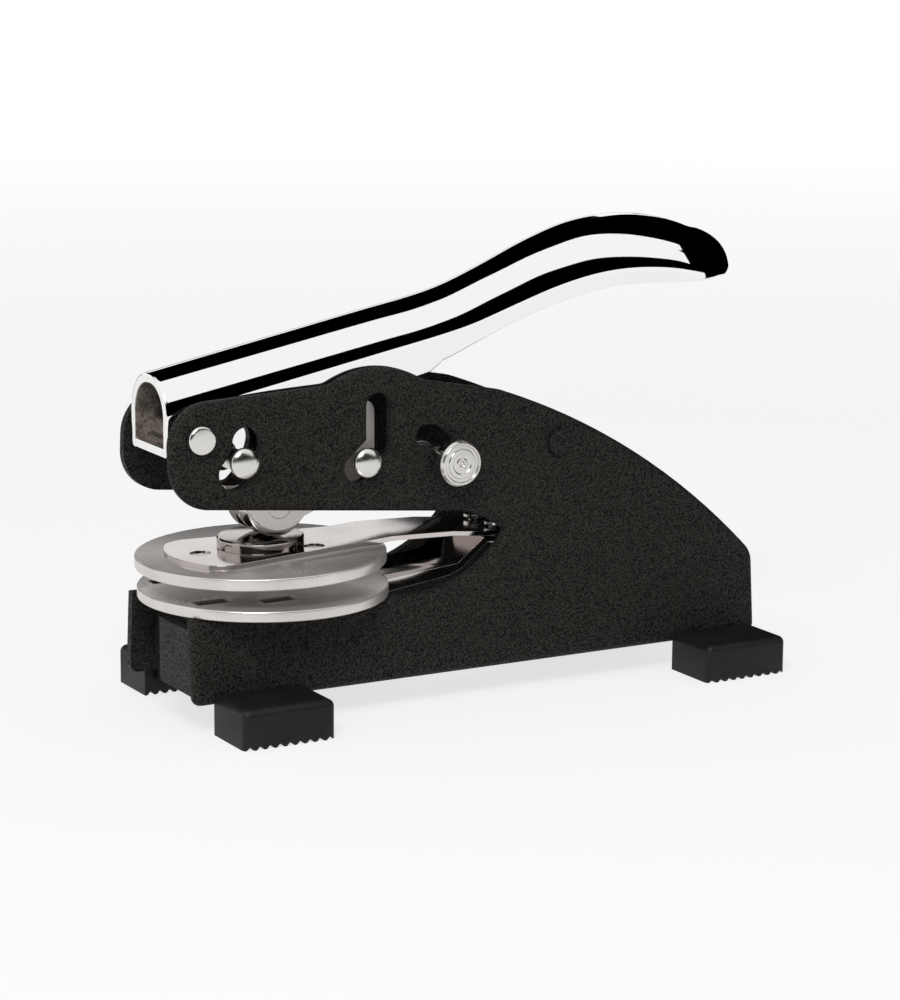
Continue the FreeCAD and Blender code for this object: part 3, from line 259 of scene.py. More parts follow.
def mix_colour(tree, factor, a, b):
    """Colour a where factor is 0 and b where it is 1; each is a colour or a socket."""
    made = add_node(tree, "Mix", data_type="RGBA")
    tree.links.new(factor, made.inputs["Factor"])
    for socket, colour in ((made.inputs[6], a), (made.inputs[7], b)):
        if isinstance(colour, bpy.types.NodeSocket):
            tree.links.new(colour, socket)
        else:
            socket.default_value = (*colour, 1.0)
    return made.outputs[2]


# %% Node groups
def new_group(name, inputs, outputs):
    """An empty node group.  inputs maps a label to (socket type, default)."""
    group = bpy.data.node_groups.new(name, "ShaderNodeTree")
    for label, (kind, default) in inputs.items():
        socket = group.interface.new_socket(label, in_out="INPUT",
                                            socket_type="NodeSocket" + kind)
        if default is not None:
            socket.default_value = default
    for label in outputs:
        group.interface.new_socket(label, in_out="OUTPUT", socket_type="NodeSocketFloat")
    entry = group.nodes.new("NodeGroupInput").outputs
    leave = group.nodes.new("NodeGroupOutput").inputs
    return group, entry, leave


def use_group(tree, group, values):
    """Place a node group in a tree, fill its inputs and give its outputs."""
    made = tree.nodes.new("ShaderNodeGroup")
    made.node_tree = group
    for key, value in values.items():
        if isinstance(value, bpy.types.NodeSocket):
            tree.links.new(value, made.inputs[key])
        else:
            made.inputs[key].default_value = value
    return made.outputs


# %% Pebbles
FINER_GRAIN, CELL_SHARE = 1.7, 0.7


def pebble_group():
    """Fine pebbles: smooth cells with noise on them, as on wrinkle paint, cast or moulded
    skin.  Height drives the bump and Mask marks the tops of the pebbles."""
    group, entry, leave = new_group("pebbles", {
        "Vector": ("Vector", None), "Scale": ("Float", 1000.0)}, ("Height", "Mask"))
    cells = add_node(group, "TexVoronoi", {"Vector": entry["Vector"], "Scale": entry["Scale"]},
                     feature="SMOOTH_F1").outputs["Distance"]
    finer = maths(group, "MULTIPLY", entry["Scale"], FINER_GRAIN)
    grain = add_node(group, "TexNoise", {"Vector": entry["Vector"], "Scale": finer,
                                         "Detail": 2.0}).outputs["Fac"]
    height = maths(group, "SUBTRACT", grain, maths(group, "MULTIPLY", cells, CELL_SHARE))
    group.links.new(height, leave["Height"])
    group.links.new(remap(group, height, 0.02, 0.32, 0.0, 1.0), leave["Mask"])
    return group


# %% Turning marks
def turning_group():
    """Rings about the Z axis of Vector.  The Height reads only the distance from that axis
    and the place along it, so it runs round the piece as a tool does; Streak is a slow
    drift of tone over the whole piece."""
    group, entry, leave = new_group("turning_marks", {
        "Vector": ("Vector", None), "Scale": ("Float", 5000.0)}, ("Height", "Streak"))
    parts = add_node(group, "SeparateXYZ", {"Vector": entry["Vector"]}).outputs
    flat = add_node(group, "CombineXYZ", {"X": parts["X"], "Y": parts["Y"]}).outputs[0]
    radius = add_node(group, "VectorMath", {0: flat}, operation="LENGTH").outputs["Value"]
    profile = add_node(group, "CombineXYZ", {"X": radius, "Y": parts["Z"]}).outputs[0]
    ring = add_node(group, "TexNoise", {"Vector": profile, "Scale": entry["Scale"],
                                        "Detail": 3.0}).outputs["Fac"]
    drift = add_node(group, "TexNoise", {"Vector": entry["Vector"], "Scale": 90.0,
                                         "Detail": 2.0}).outputs["Fac"]
    group.links.new(ring, leave["Height"])
    group.links.new(drift, leave["Streak"])
    return group


# %% Handling wear
PATCH_SHARE, HAIR_SHARE = 0.75, 0.25


def wear_group():
    """Soft patches and fine hair marks, as one number from Low to High that goes into a
    metal's roughness."""
    group, entry, leave = new_group("handling_wear", {
        "Vector": ("Vector", None), "Low": ("Float", 0.1), "High": ("Float", 0.2)},
        ("Roughness",))
    patch = add_node(group, "TexNoise", {"Vector": entry["Vector"], "Scale": 55.0,
                                         "Detail": 3.0}).outputs["Fac"]
    hair = add_node(group, "TexNoise", {"Vector": entry["Vector"], "Scale": 1400.0,
                                        "Detail": 2.0}).outputs["Fac"]
    blend = maths(group, "ADD", maths(group, "MULTIPLY", patch, PATCH_SHARE),
                  maths(group, "MULTIPLY", hair, HAIR_SHARE))
    share = remap(group, blend, 0.38, 0.62, 0.0, 1.0)
    span = maths(group, "SUBTRACT", entry["High"], entry["Low"])
    group.links.new(maths(group, "ADD", entry["Low"], maths(group, "MULTIPLY", share, span)),
                    leave["Roughness"])
    return group


PEBBLES, TURNING, WEAR = pebble_group(), turning_group(), wear_group()
print("effects:", [group.name for group in (PEBBLES, TURNING, WEAR)])


# %% [markdown]
# ## Finishes
#
# One short function builds each finish. The patterns read Object coordinates, in metres, so
# a scale of 1000 gives a feature of about a millimetre. Constants are set on the shader's
# own sockets.

# %% Start of a material
def new_material(name, metallic=0.0, roughness=0.5, specular=0.5):
    """A material with its constants on the shader.  Gives the material, its tree, its
    shader and the Object coordinates, which every pattern reads."""
    material = bpy.data.materials.new(name)
    material.use_nodes = True
    tree = material.node_tree
    shader = tree.nodes["Principled BSDF"]
    shader.inputs["Metallic"].default_value = metallic
    shader.inputs["Roughness"].default_value = roughness
    shader.inputs["Specular IOR Level"].default_value = specular
    place = add_node(tree, "TexCoord").outputs["Object"]
    return material, tree, shader, place


def bump_into(tree, shader, height, strength, distance):
    """Let a height roughen the surface; distance is the relief's depth in metres."""
    made = add_node(tree, "Bump", {"Height": height, "Strength": strength,
                                   "Distance": distance})
    tree.links.new(made.outputs["Normal"], shader.inputs["Normal"])


# %% [markdown]
# ### Paint and rubber
#
# The plates wear baked wrinkle paint: it dries into tight pebbles that are nearly black in
# the pits and worn grey on the tops. A dark colour with a bump alone looks like plastic, so
# the same pattern also drives colour and roughness. The feet are moulded rubber, smoother
# and darker, and need only a very fine skin.

# %% Paint and rubber
PAINT_PITS, PAINT_TOPS = (0.0018, 0.0017, 0.0015), (0.034, 0.032, 0.028)
RUBBER_CLEAN, RUBBER_DUSTY = (0.0055, 0.0057, 0.0062), (0.0095, 0.0098, 0.0105)


def wrinkle_paint():
    """Black wrinkle paint: fine pebbles under half a millimetre apart, whose tops are
    greyer and shine a little."""
    material, tree, shader, place = new_material("black_wrinkle_paint", 0.0, 0.5, 0.12)
    grain = use_group(tree, PEBBLES, {"Vector": place, "Scale": 2700.0})
    tops = remap(tree, grain["Mask"], 0.25, 1.0, 0.0, 1.0)
    colour = mix_colour(tree, tops, PAINT_PITS, PAINT_TOPS)
    tree.links.new(colour, shader.inputs["Base Color"])
    tree.links.new(remap(tree, tops, 0.0, 1.0, 0.62, 0.4), shader.inputs["Roughness"])
    bump_into(tree, shader, grain["Height"], 1.0, 0.0002)
    return material


def foot_rubber():
    """Moulded rubber: a faint blue black with a dull, even skin and a trace of dust."""
    material, tree, shader, place = new_material("foot_rubber", 0.0, 0.5, 0.28)
    skin = use_group(tree, PEBBLES, {"Vector": place, "Scale": 3800.0})
    dust = add_node(tree, "TexNoise", {"Vector": place, "Scale": 160.0,
                                       "Detail": 4.0}).outputs["Fac"]
    colour = mix_colour(tree, remap(tree, dust, 0.4, 0.75, 0.0, 1.0), RUBBER_CLEAN,
                        RUBBER_DUSTY)
    tree.links.new(colour, shader.inputs["Base Color"])
    bump_into(tree, shader, skin["Height"], 0.25, 0.00006)
    return material


# %% [markdown]
# ### Metals
#
# Three kinds of metal meet on the machine. Pins, clip and link are plated or ground, and
# wear varies their roughness. Discs, boss, rollers and knob were turned, so they also carry
# fine rings. The lever is mirror chrome outside and a bare casting inside; one material with
# an attribute on the mesh holds both, so the border follows the wall and not a picture.

# %% Plated metal
def polished_metal(name, colour, low, high, metallic=1.0):
    """Plated metal: one colour, with handling wear in its roughness.  A metallic share
    below 1 gives the duller, satin look of a ground surface."""
    material, tree, shader, place = new_material(name, metallic)
    shader.inputs["Base Color"].default_value = (*colour, 1.0)
    wear = use_group(tree, WEAR, {"Vector": place, "Low": low, "High": high})
    tree.links.new(wear["Roughness"], shader.inputs["Roughness"])
    return material


# %% Turned metal
# Painted shade: the near black painted on the floors of the die slots.
SLOT_SHADE_PAINT = (0.006, 0.005, 0.0045)
STREAK_SHADE = 0.86


def turned_metal(name, colour, low, high, centre, axis="Z", scale=2600.0, strength=0.08,
                 metallic=1.0):
    """Turned metal: handling wear, with fine rings about an axis through centre.  It is
    painted near black, as painted shade, where the attribute "grime" is 1; a mesh without one
    is not darkened."""
    material, tree, shader, place = new_material(name, metallic)
    moved = add_node(tree, "VectorMath", {0: place, 1: tuple(c * MM for c in centre)},
                     operation="SUBTRACT").outputs[0]
    if axis == "Y":
        moved = add_node(tree, "Mapping", {"Vector": moved,
                                           "Rotation": (math.pi / 2, 0, 0)}).outputs[0]
    marks = use_group(tree, TURNING, {"Vector": moved, "Scale": scale})
    wear = use_group(tree, WEAR, {"Vector": place, "Low": low, "High": high})
    tree.links.new(wear["Roughness"], shader.inputs["Roughness"])
    dark = tuple(c * STREAK_SHADE for c in colour)
    clean = mix_colour(tree, remap(tree, marks["Streak"], 0.35, 0.65, 0.0, 1.0), dark, colour)
    # Painted shade: where the attribute is 1, the colour is painted near black.
    painted_slot_shade = add_node(tree, "Attribute", attribute_name="painted_slot_shade").outputs["Fac"]
    tree.links.new(mix_colour(tree, painted_slot_shade, clean, SLOT_SHADE_PAINT), shader.inputs["Base Color"])
    bump_into(tree, shader, marks["Height"], strength, 0.00003)
    return material


# %% Chrome
CHROME_TINT = (0.9, 0.895, 0.885)
CAST_PITS, CAST_TOPS = (0.10, 0.082, 0.068), (0.24, 0.205, 0.18)
CAST_DULL = 0.45


def lever_chrome():
    """Mirror chrome outside; inside, where the attribute "cast" is 1, raw brown-grey
    casting with a pebbled skin."""
    material, tree, shader, place = new_material("lever_chrome", 1.0)
    raw = add_node(tree, "Attribute", attribute_name="cast").outputs["Fac"]
    skin = use_group(tree, PEBBLES, {"Vector": place, "Scale": 900.0})
    wear = use_group(tree, WEAR, {"Vector": place, "Low": 0.025, "High": 0.05})
    cast = mix_colour(tree, skin["Mask"], CAST_PITS, CAST_TOPS)
    tree.links.new(mix_colour(tree, raw, CHROME_TINT, cast), shader.inputs["Base Color"])
    dull = maths(tree, "MULTIPLY", raw, CAST_DULL)
    tree.links.new(maths(tree, "ADD", dull, wear["Roughness"]), shader.inputs["Roughness"])
    tree.links.new(maths(tree, "SUBTRACT", 1.0, dull), shader.inputs["Metallic"])
    bump_into(tree, shader, maths(tree, "MULTIPLY", skin["Height"], raw), 0.35, 0.00012)
    return material


# %% One finish for each material slot
PAINT = wrinkle_paint()
RUBBER = foot_rubber()
CHROME = lever_chrome()
DISC = turned_metal("disc_steel", (0.74, 0.695, 0.67), 0.27, 0.31, (DIE_X, 0, 0),
                    metallic=0.7)
CLIP = polished_metal("clip_steel", (0.6, 0.56, 0.54), 0.08, 0.14)
LINK = polished_metal("link_steel", (0.8, 0.75, 0.73), 0.3, 0.4, metallic=0.45)
PIN = polished_metal("pin_steel", (0.7, 0.685, 0.665), 0.17, 0.25)
BY_SLOT = {"black_wrinkle_paint": PAINT, "chrome": CHROME, "disc_steel": DISC,
           "clip_steel": CLIP, "link_steel": LINK, "turned_steel": PIN, "pin_steel": PIN,
           "foot_rubber": RUBBER}
print("finishes:", sorted(BY_SLOT))

# %% [markdown]
# ## Lever
#
# The lever is one cast and chromed shell: a straight channel, open below, that swells to a
# hollow grip. It could be subdivided by hand, but chrome shows every wobble, so the surface
# is worked out. At each station along it the section is two legs, two corner arcs and the
# top between them, outside and inside the wall. The four sizes of the section run smoothly
# along the lever through a few stations: half width, crown height, lower edge and the
# corner's radius as a share of the half width.

# %% Lever sizes, in its own frame, in millimetres
LEVER_HALF = 9.038
LEVER_WALL = 2.0
CHANNEL_CROWN = 13.5
CHANNEL_CORNER = 0.94
STATIONS = {
    "start": (-12.0, LEVER_HALF, CHANNEL_CROWN, 0.0, CHANNEL_CORNER),
    "channel": (30.0, LEVER_HALF, CHANNEL_CROWN, 0.0, CHANNEL_CORNER),
    "joint": (52.0, LEVER_HALF, CHANNEL_CROWN, 0.0, CHANNEL_CORNER),
    "root": (60.0, LEVER_HALF, 13.4, 0.0, 0.93),
    "neck": (68.0, LEVER_HALF + 0.25, 13.7, 1.6, 0.91),
    "rise": (80.0, LEVER_HALF + 1.05, 15.5, 4.1, 0.85),
    "back": (93.0, LEVER_HALF + 2.5, 17.9, 5.7, 0.80),
    "crest": (105.5, LEVER_HALF + 3.7, 19.2, 5.6, 0.84),
    "palm": (117.5, LEVER_HALF + 3.9, 17.8, 3.2, 0.92),
    "heel": (127.0, LEVER_HALF + 3.3, 14.2, 1.0, 0.95),
    "tip": (131.5, LEVER_HALF + 2.2, 11.5, 0.6, 0.95),
    "end": (134.2, LEVER_HALF + 0.7, 9.7, 0.3, 0.95),
}
EVEN_OVER = np.linspace(-3.0, 3.0, 7)
FRONT_X = -6.22
FRONT_SLOPE = math.tan(LEVER_FRAME[2])
FRONT_BLEND = 12.0
RIM_ROUND = 0.45
HOLLOW_END = (126.0, 133.6)
SILL_LOW, SILL_HIGH, SILL_REAR, SILL_CORNER = -2.95, -0.95, -2.9, 1.6
LUG_X, LUG_Z, LUG_ROUND = 7.843, -6.963, 6.0
LUG_FRONT, LUG_BACK, LUG_STEP = 1.98, 13.04, 0.01
LEG_EDGE = ((-20.0, SILL_LOW), (SILL_REAR, SILL_LOW), (-1.6, -5.2),
            (LUG_FRONT - LUG_STEP, -5.2), (LUG_FRONT, -8.2), (LUG_BACK, -9.96),
            (20.0, -3.6), (56.9, -1.6), (60.5, 0.0))


# %% Section sizes along the lever
def through(knots, values, x):
    """A smooth curve through points: between two knots the cubic Hermite blend of their
    values and slopes, where a knot's slope is the weighted mean of its two chords."""
    knots, values = np.asarray(knots, float), np.asarray(values, float)
    slopes = np.gradient(values, knots)
    slopes[0] = 0.0
    slopes[-1] = (values[-1] - values[-2]) / (knots[-1] - knots[-2])
    k = np.clip(np.searchsorted(knots, x) - 1, 0, len(knots) - 2)
    width = knots[k + 1] - knots[k]
    t = np.clip((x - knots[k]) / width, 0.0, 1.0)
    return ((1 + 2 * t) * (1 - t) ** 2 * values[k] + t * (1 - t) ** 2 * width * slopes[k]
            + t * t * (3 - 2 * t) * values[k + 1] - t * t * (1 - t) * width * slopes[k + 1])


def leg_edge(x):
    """Height of the legs' lower edge: straight runs, and a round lug about the link pin."""
    corners = np.array(LEG_EDGE)
    straight = np.interp(x, corners[:, 0], corners[:, 1])
    drop = np.sqrt(np.clip(LUG_ROUND ** 2 - (x - LUG_X) ** 2, 0.0, None))
    on_lug = (x > LUG_FRONT) & (x < LUG_BACK)
    return np.where(on_lug, np.minimum(straight, LUG_Z - drop), straight)


def lever_sizes(x):
    """Half width, crown height, lower edge and corner radius of the section at x.  Each is
    the mean of its curve over a few millimetres, so that no bend starts suddenly."""
    rows = np.array(list(STATIONS.values()))
    half, crown, low, corner = (
        np.mean([through(rows[:, 0], rows[:, i], x + d) for d in EVEN_OVER], axis=0)
        for i in range(1, 5))
    low = np.where(x < LEG_EDGE[-1][0], leg_edge(x), low)
    return half, crown, low, half * corner


# %% Half a section
LEG_STEPS, ARC_STEPS, EDGE_STEPS, TOP_STEPS = 9, 26, 5, 4


def half_section(half, crown, low, corner, edge, outward):
    """Left half of one skin, from the rim below to the middle of the top, as (y, z) with
    one row for each station.  The rim's edge is a quarter round, the leg is straight and
    the corner is an arc; outward is 1 for the outer skin and -1 for the inner one."""
    half, crown, low, corner, edge = (np.asarray(v, float)[:, None]
                                      for v in (half, crown, low, corner, edge))
    turn = np.linspace(0.0, math.pi / 2, EDGE_STEPS)[None, :]
    rim_y = -half + outward * edge * (1 - np.sin(turn))
    rim_z = low + edge * (1 - np.cos(turn))
    up = np.linspace(0.0, 1.0, LEG_STEPS + 2)[None, 1:-1]
    foot, knee = low + edge, crown - corner
    leg_z = foot + (knee - foot) * up
    leg_y = np.broadcast_to(-half, leg_z.shape)
    turn = np.linspace(0.0, math.pi / 2, ARC_STEPS)[None, :]
    arc_y = -half + corner * (1 - np.cos(turn))
    arc_z = crown - corner * (1 - np.sin(turn))
    over = np.linspace(0.0, 1.0, TOP_STEPS + 1)[None, 1:]
    top_y = (-half + corner) * (1 - over)
    top_z = np.broadcast_to(crown, top_y.shape)
    return (np.concatenate([rim_y, leg_y, arc_y, top_y], axis=1),
            np.concatenate([rim_z, leg_z, arc_z, top_z], axis=1))


def mirrored(y, z):
    """Add the right half: the same points in reverse order with y turned round."""
    return (np.concatenate([y, -y[:, -2::-1]], axis=1),
            np.concatenate([z, z[:, -2::-1]], axis=1))


# %% Rows along the lever
RIM_STEPS = 6
RUNS = {"front": (0.8, 12.0, 0.4), "lugs": (6.3, 27.0, 0.55), "channel": (27.0, 66.0, 1.5),
        "grip": (66.0, 145.0, 0.75)}


def lever_rows():
    """Distances from the front rim: close at the rim's round, the lugs and the grip.  RUNS
    gives each stretch's start, end and pitch, and two rows hold the step of the lug."""
    rim = RIM_ROUND * (1 - np.cos(np.linspace(0, math.pi / 2, RIM_STEPS)))
    step = LUG_FRONT - FRONT_X
    runs = [np.arange(*run) for run in RUNS.values()]
    along = np.unique(np.concatenate([rim, *runs, [step - LUG_STEP, step]]))
    last = STATIONS["end"][0] - FRONT_X
    return np.append(along[along < last - 0.1], last)


# %% Outer and inner skin
LEG_ROUND, INNER_ROUND = 0.4, 0.2
ROUND_CHANGE = (SILL_REAR - 0.5, SILL_REAR + 1.0)
ROUND_LEAST, FLAT_LEAST, CORNER_LEAST = 0.05, 0.3, 0.3
ROUND_MOST, CORNER_MOST = 0.1, 0.9
SUNK = 0.001


def lever_shell():
    """Outer and inner skin over (station, place round the section).  Near the front, x is
    sheared so that the front face stands upright at rest, and the section shrinks into the
    wall along a quarter round.  At the tip the inner skin sinks to the lower edge."""
    along = lever_rows()
    x = FRONT_X + along
    inset = RIM_ROUND * (1 - np.sin(np.arccos(np.clip(1 - along / RIM_ROUND, 0.0, 1.0))))
    half, crown, low, corner = lever_sizes(x)
    wall = LEVER_WALL - 2 * inset
    edge = np.interp(x, ROUND_CHANGE, (SILL_CORNER, LEG_ROUND)) - inset
    edge = np.clip(edge, ROUND_LEAST, wall - FLAT_LEAST)
    outer = mirrored(*half_section(half - inset, crown - inset, low + inset,
                                   corner - inset, edge, 1))
    closing = np.interp(x, HOLLOW_END, (0.0, 1.0))
    sink = np.maximum(np.sqrt(1 - closing ** 2), SUNK)
    inner_crown = low + (crown - inset - wall - low) * sink
    inner_low = np.minimum(low + inset, inner_crown)
    tall = inner_crown - inner_low
    inner_corner = np.minimum(np.maximum(corner - LEVER_WALL + inset, CORNER_LEAST),
                              tall * CORNER_MOST)
    inner = mirrored(*half_section(half - inset - wall, inner_crown, inner_low, inner_corner,
                                   np.minimum(INNER_ROUND, tall * ROUND_MOST), -1))
    y = np.concatenate([outer[0], inner[0][:, ::-1]], axis=1)
    z = np.concatenate([outer[1], inner[1][:, ::-1]], axis=1)
    shear = np.clip(1 - along / FRONT_BLEND, 0.0, 1.0)[:, None] * FRONT_SLOPE
    return x[:, None] + shear * z, y, z, outer[0].shape[1]


# %% Tip and sill
TIP_CAP, TIP_CENTRE, TIP_START, TIP_STEPS = 5.9, 0.2, math.radians(52), 12
SILL_SET_BACK, SILL_ROUND, SILL_OVERLAP = 0.12, 0.4, 0.3


def tip_cap(x, y, z, count):
    """Rows that close the tip: the last section shrinks towards a point low on its middle
    along the end of an ellipse, from its angle TIP_START, so that the surface keeps its
    slope."""
    turn = np.linspace(TIP_START, math.pi / 2, TIP_STEPS + 1)[1:]
    low, high = z[-1, :count].min(), z[-1, :count].max()
    middle_z = low + TIP_CENTRE * (high - low)
    shrink = np.cos(turn)[:, None] / math.cos(TIP_START)
    onward = (np.sin(turn) - math.sin(TIP_START)) / (1 - math.sin(TIP_START))
    rows_y = y[-1][None, :] * shrink
    rows_z = middle_z + (z[-1][None, :] - middle_z) * shrink
    rows_x = x[-1].mean() + TIP_CAP * onward[:, None] + 0 * rows_y
    return rows_x, rows_y, rows_z


def sill_slab():
    """A rounded slab between the legs: its outline in (x, z), carried across in y.  Its
    front face leans with the lever's."""
    front = FRONT_X + SILL_SET_BACK
    corners = ((front, SILL_LOW), (SILL_REAR, SILL_LOW), (SILL_REAR, SILL_HIGH),
               (front, SILL_HIGH))
    x, z = rounded_outline(corners, SILL_ROUND, closed=True).T
    x = x + FRONT_SLOPE * z * (x < SILL_REAR - 1)
    reach = LEVER_HALF - LEVER_WALL + SILL_OVERLAP
    return placed(x, np.array([[-reach], [reach]]), z, LEVER_FRAME).reshape(-1, 3)


# %% Lever
LEVER_CRISP = 50
SKIN_SLACK, FACE_SLACK = 0.1, 0.05


def make_lever():
    """Join shell, tip and sill in one mesh, and close the rim between the two skins."""
    x, y, z, count = lever_shell()
    cap = tip_cap(x, y, z, count)
    x, y, z = (np.concatenate(pair) for pair in zip((x, y, z), cap))
    rows, columns = x.shape
    points = placed(x, y, z, LEVER_FRAME).reshape(-1, 3)
    faces = grid_faces(rows, columns, close_columns=True).tolist()
    faces += [(k, k + 1, columns - 2 - k, columns - 1 - k) for k in range(count - 1)]
    sill = sill_slab()
    faces += prism_faces(len(sill) // 2, len(points))
    lever = mesh_object("lever_shell", np.concatenate([points, sill]), faces, LEVER_CRISP)
    mark_cast_skin(lever.data)
    return stands_for(lever, "lever", material=CHROME)


def mark_cast_skin(mesh):
    """Attribute "cast": 1 on the inner skin and the sill, 0 on the polished outside.  A
    point is inside when it lies nearly a wall's thickness below the outer section."""
    px, py, pz = vertex_places(mesh).T
    x0, z0, tilt = LEVER_FRAME
    x = (px - x0) * math.cos(tilt) + (pz - z0) * math.sin(tilt)
    z = (pz - z0) * math.cos(tilt) - (px - x0) * math.sin(tilt)
    half, crown, _, corner = lever_sizes(x)
    knee = crown - corner
    over = np.maximum(z - knee, 0.0)
    reach = np.hypot(np.maximum(np.abs(py) - (half - corner), 0.0), over)
    depth = np.where(z > knee, corner - reach, half - np.abs(py))
    behind = px - (x0 + FRONT_X * math.cos(tilt))
    inside = (depth > LEVER_WALL - SKIN_SLACK) & (behind > FACE_SLACK)
    mark_points(mesh, "cast", inside & (x < HOLLOW_END[1]))


lever = make_lever()
print("lever:", len(lever.data.polygons), "faces")

# %% [markdown]
# ## Turned pieces
#
# Discs, rollers, pins and the knob came off a lathe, so each is a profile spun round an
# axis. A screw modifier would do, but worked-out rings let the profile's corners be real
# small arcs that catch the light, and the pole points merge into one.

# %% Spun surfaces
TURNS = 160
TURNED_CRISP = 32


def spun(name, corners, rounds, middle, axis="Z", place=STAND_FRAME, closed=False):
    """Spin a profile of (distance from the axis, place along it): each profile point
    becomes a ring r cos a, r sin a about the axis through middle."""
    profile = rounded_outline(corners, rounds, closed=closed)
    angle = np.linspace(0, 2 * math.pi, TURNS, endpoint=False)[None, :]
    radius, along = profile[:, 0][:, None], profile[:, 1][:, None] + 0 * angle
    one, two = radius * np.cos(angle), radius * np.sin(angle)
    if axis == "Z":
        points = placed(middle[0] + one, middle[1] + two, middle[2] + along, place)
    else:
        points = placed(middle[0] + one, middle[1] + along, middle[2] + two, place)
    faces = grid_faces(len(profile), TURNS, close_rows=closed, close_columns=True)
    return mesh_object(name, points, faces, TURNED_CRISP)


# %% [markdown]
# ### Discs and boss
#
# Two thick steel discs hold the dies, and the rollers press on a boss above them. The lower
# disc has four slots for the tabs of a die. Slots could be drawn into the grid of the disc,
# but its rings run round and the slots run straight, so a boolean cuts them from the
# finished disc. Their floors are painted near black: painted shade, as little light reaches
# the bottom of a deep slot.

# %% Discs
DISC_RADIUS, DISC_ROUND = 27.0, 0.4
LOWER_DISC = (24.5, 26.9)
UPPER_AXIS_X = -55.5
UPPER_DISC = (-0.948, 1.652)
SLOT_LONG, SLOT_WIDE, SLOT_DEEP, SLOT_ROUND = 7.4, 3.6, 2.3, 0.3
SLOT_FLOOR = LOWER_DISC[1] - SLOT_DEEP
SLOT_CENTRES = [(x, side * y) for x, y in ((-17.6, 11.2), (-4.5, 15.6)) for side in (-1, 1)]
CUT_CLEAR, FLOOR_SLACK = 1.0, 0.02


def disc(name, low, high, middle, place):
    """A flat disc whose two rims are small quarter rounds."""
    corners = ((0, low), (DISC_RADIUS, low), (DISC_RADIUS, high), (0, high))
    return spun(name, corners, DISC_ROUND, middle, place=place)


def slot_cutter():
    """One rounded block for each slot, from its floor to a little above the disc."""
    half_long, half_wide = SLOT_LONG / 2, SLOT_WIDE / 2
    corners = ((-half_long, -half_wide), (half_long, -half_wide), (half_long, half_wide),
               (-half_long, half_wide))
    ring = rounded_outline(corners, SLOT_ROUND, closed=True)
    heights = np.array([[SLOT_FLOOR], [LOWER_DISC[1] + CUT_CLEAR]])
    blocks = [placed(x + ring[:, 0], y + ring[:, 1], heights, STAND_FRAME).reshape(-1, 3)
              for x, y in SLOT_CENTRES]
    faces = [face for k in range(len(blocks))
             for face in prism_faces(len(ring), 2 * len(ring) * k)]
    return mesh_object("slot_cutter", np.concatenate(blocks), faces)


def cut_slots(thing):
    """Sink the four die slots in the disc's top with a boolean, and apply it."""
    cutter = slot_cutter()
    cut = thing.modifiers.new("slots", "BOOLEAN")
    cut.operation, cut.solver, cut.object = "DIFFERENCE", "EXACT", cutter
    graph = bpy.context.evaluated_depsgraph_get()
    mesh = bpy.data.meshes.new_from_object(thing.evaluated_get(graph))
    thing.modifiers.clear()
    thing.data = mesh
    mesh.shade_smooth()
    mesh.set_sharp_from_angle(angle=math.radians(TURNED_CRISP))
    bpy.data.objects.remove(cutter)
    # Painted shade: the slot floors are marked to be painted near black.
    off_floor = np.abs(vertex_places(mesh)[:, 2] - SLOT_FLOOR)
    mark_points(mesh, "painted_slot_shade", off_floor < FLOOR_SLACK)
    return thing


lower_disc = disc("lower_disc_turned", *LOWER_DISC, (0, 0, 0), STAND_FRAME)
stands_for(cut_slots(lower_disc), "lower_die_disc", material=DISC)
upper_disc = disc("upper_disc_turned", *UPPER_DISC, (UPPER_AXIS_X, 0, 0), CLIP_FRAME)
stands_for(upper_disc, "upper_die_disc", material=DISC)
print("discs:", [len(thing.data.polygons) for thing in (lower_disc, upper_disc)], "faces")

# %% Boss
ARM_THICK, BOSS_HIGH, BOSS_RADIUS, BOSS_CHAMFER = 1.1, 2.4, 9.4, 0.35
BOSS_LOW = UPPER_DISC[1] + ARM_THICK
BOSS_TOP = BOSS_LOW + BOSS_HIGH
BOSS_PROFILE = ((0, BOSS_LOW), (BOSS_RADIUS, BOSS_LOW), (BOSS_RADIUS, BOSS_TOP - BOSS_CHAMFER),
                (BOSS_RADIUS - BOSS_CHAMFER, BOSS_TOP), (0, BOSS_TOP))
BOSS_ROUNDS = (0, 0.08, 0.12, 0.12, 0)
BOSS = turned_metal("boss_steel", (0.44, 0.40, 0.375), 0.08, 0.14, (DIE_X, 0, 0))
boss = spun("boss_turned", BOSS_PROFILE, BOSS_ROUNDS, (UPPER_AXIS_X, 0, 0), place=CLIP_FRAME)
stands_for(boss, "press_boss", material=BOSS)
print("boss:", len(boss.data.polygons), "faces")

# %% [markdown]
# ### Rollers, pins and knob
#
# Two hardened rollers turn side by side on a short pin. The long pins are riveted, so their
# heads are domes where they run outside the plates, and flat at the lever's pivot. The knob
# has rings turned into its face. Spheres and cylinders would do for the outline, but the
# small arcs at the rims are what shows that these were made on a lathe.

# %% Rollers
ROLLER_AXIS = (0.8, 0.0, 44.799)
ROLLER_RADIUS, ROLLER_BORE, ROLLER_EDGE, BORE_EDGE = 6.9, 2.8, 0.4, 0.15
ROLLER_SPAN = (0.15, 5.438)
ROLLER = turned_metal("roller_steel", (0.6, 0.575, 0.55), 0.12, 0.2,
                      (DIE_X + ROLLER_AXIS[0], 0, ROLLER_AXIS[2]), axis="Y")


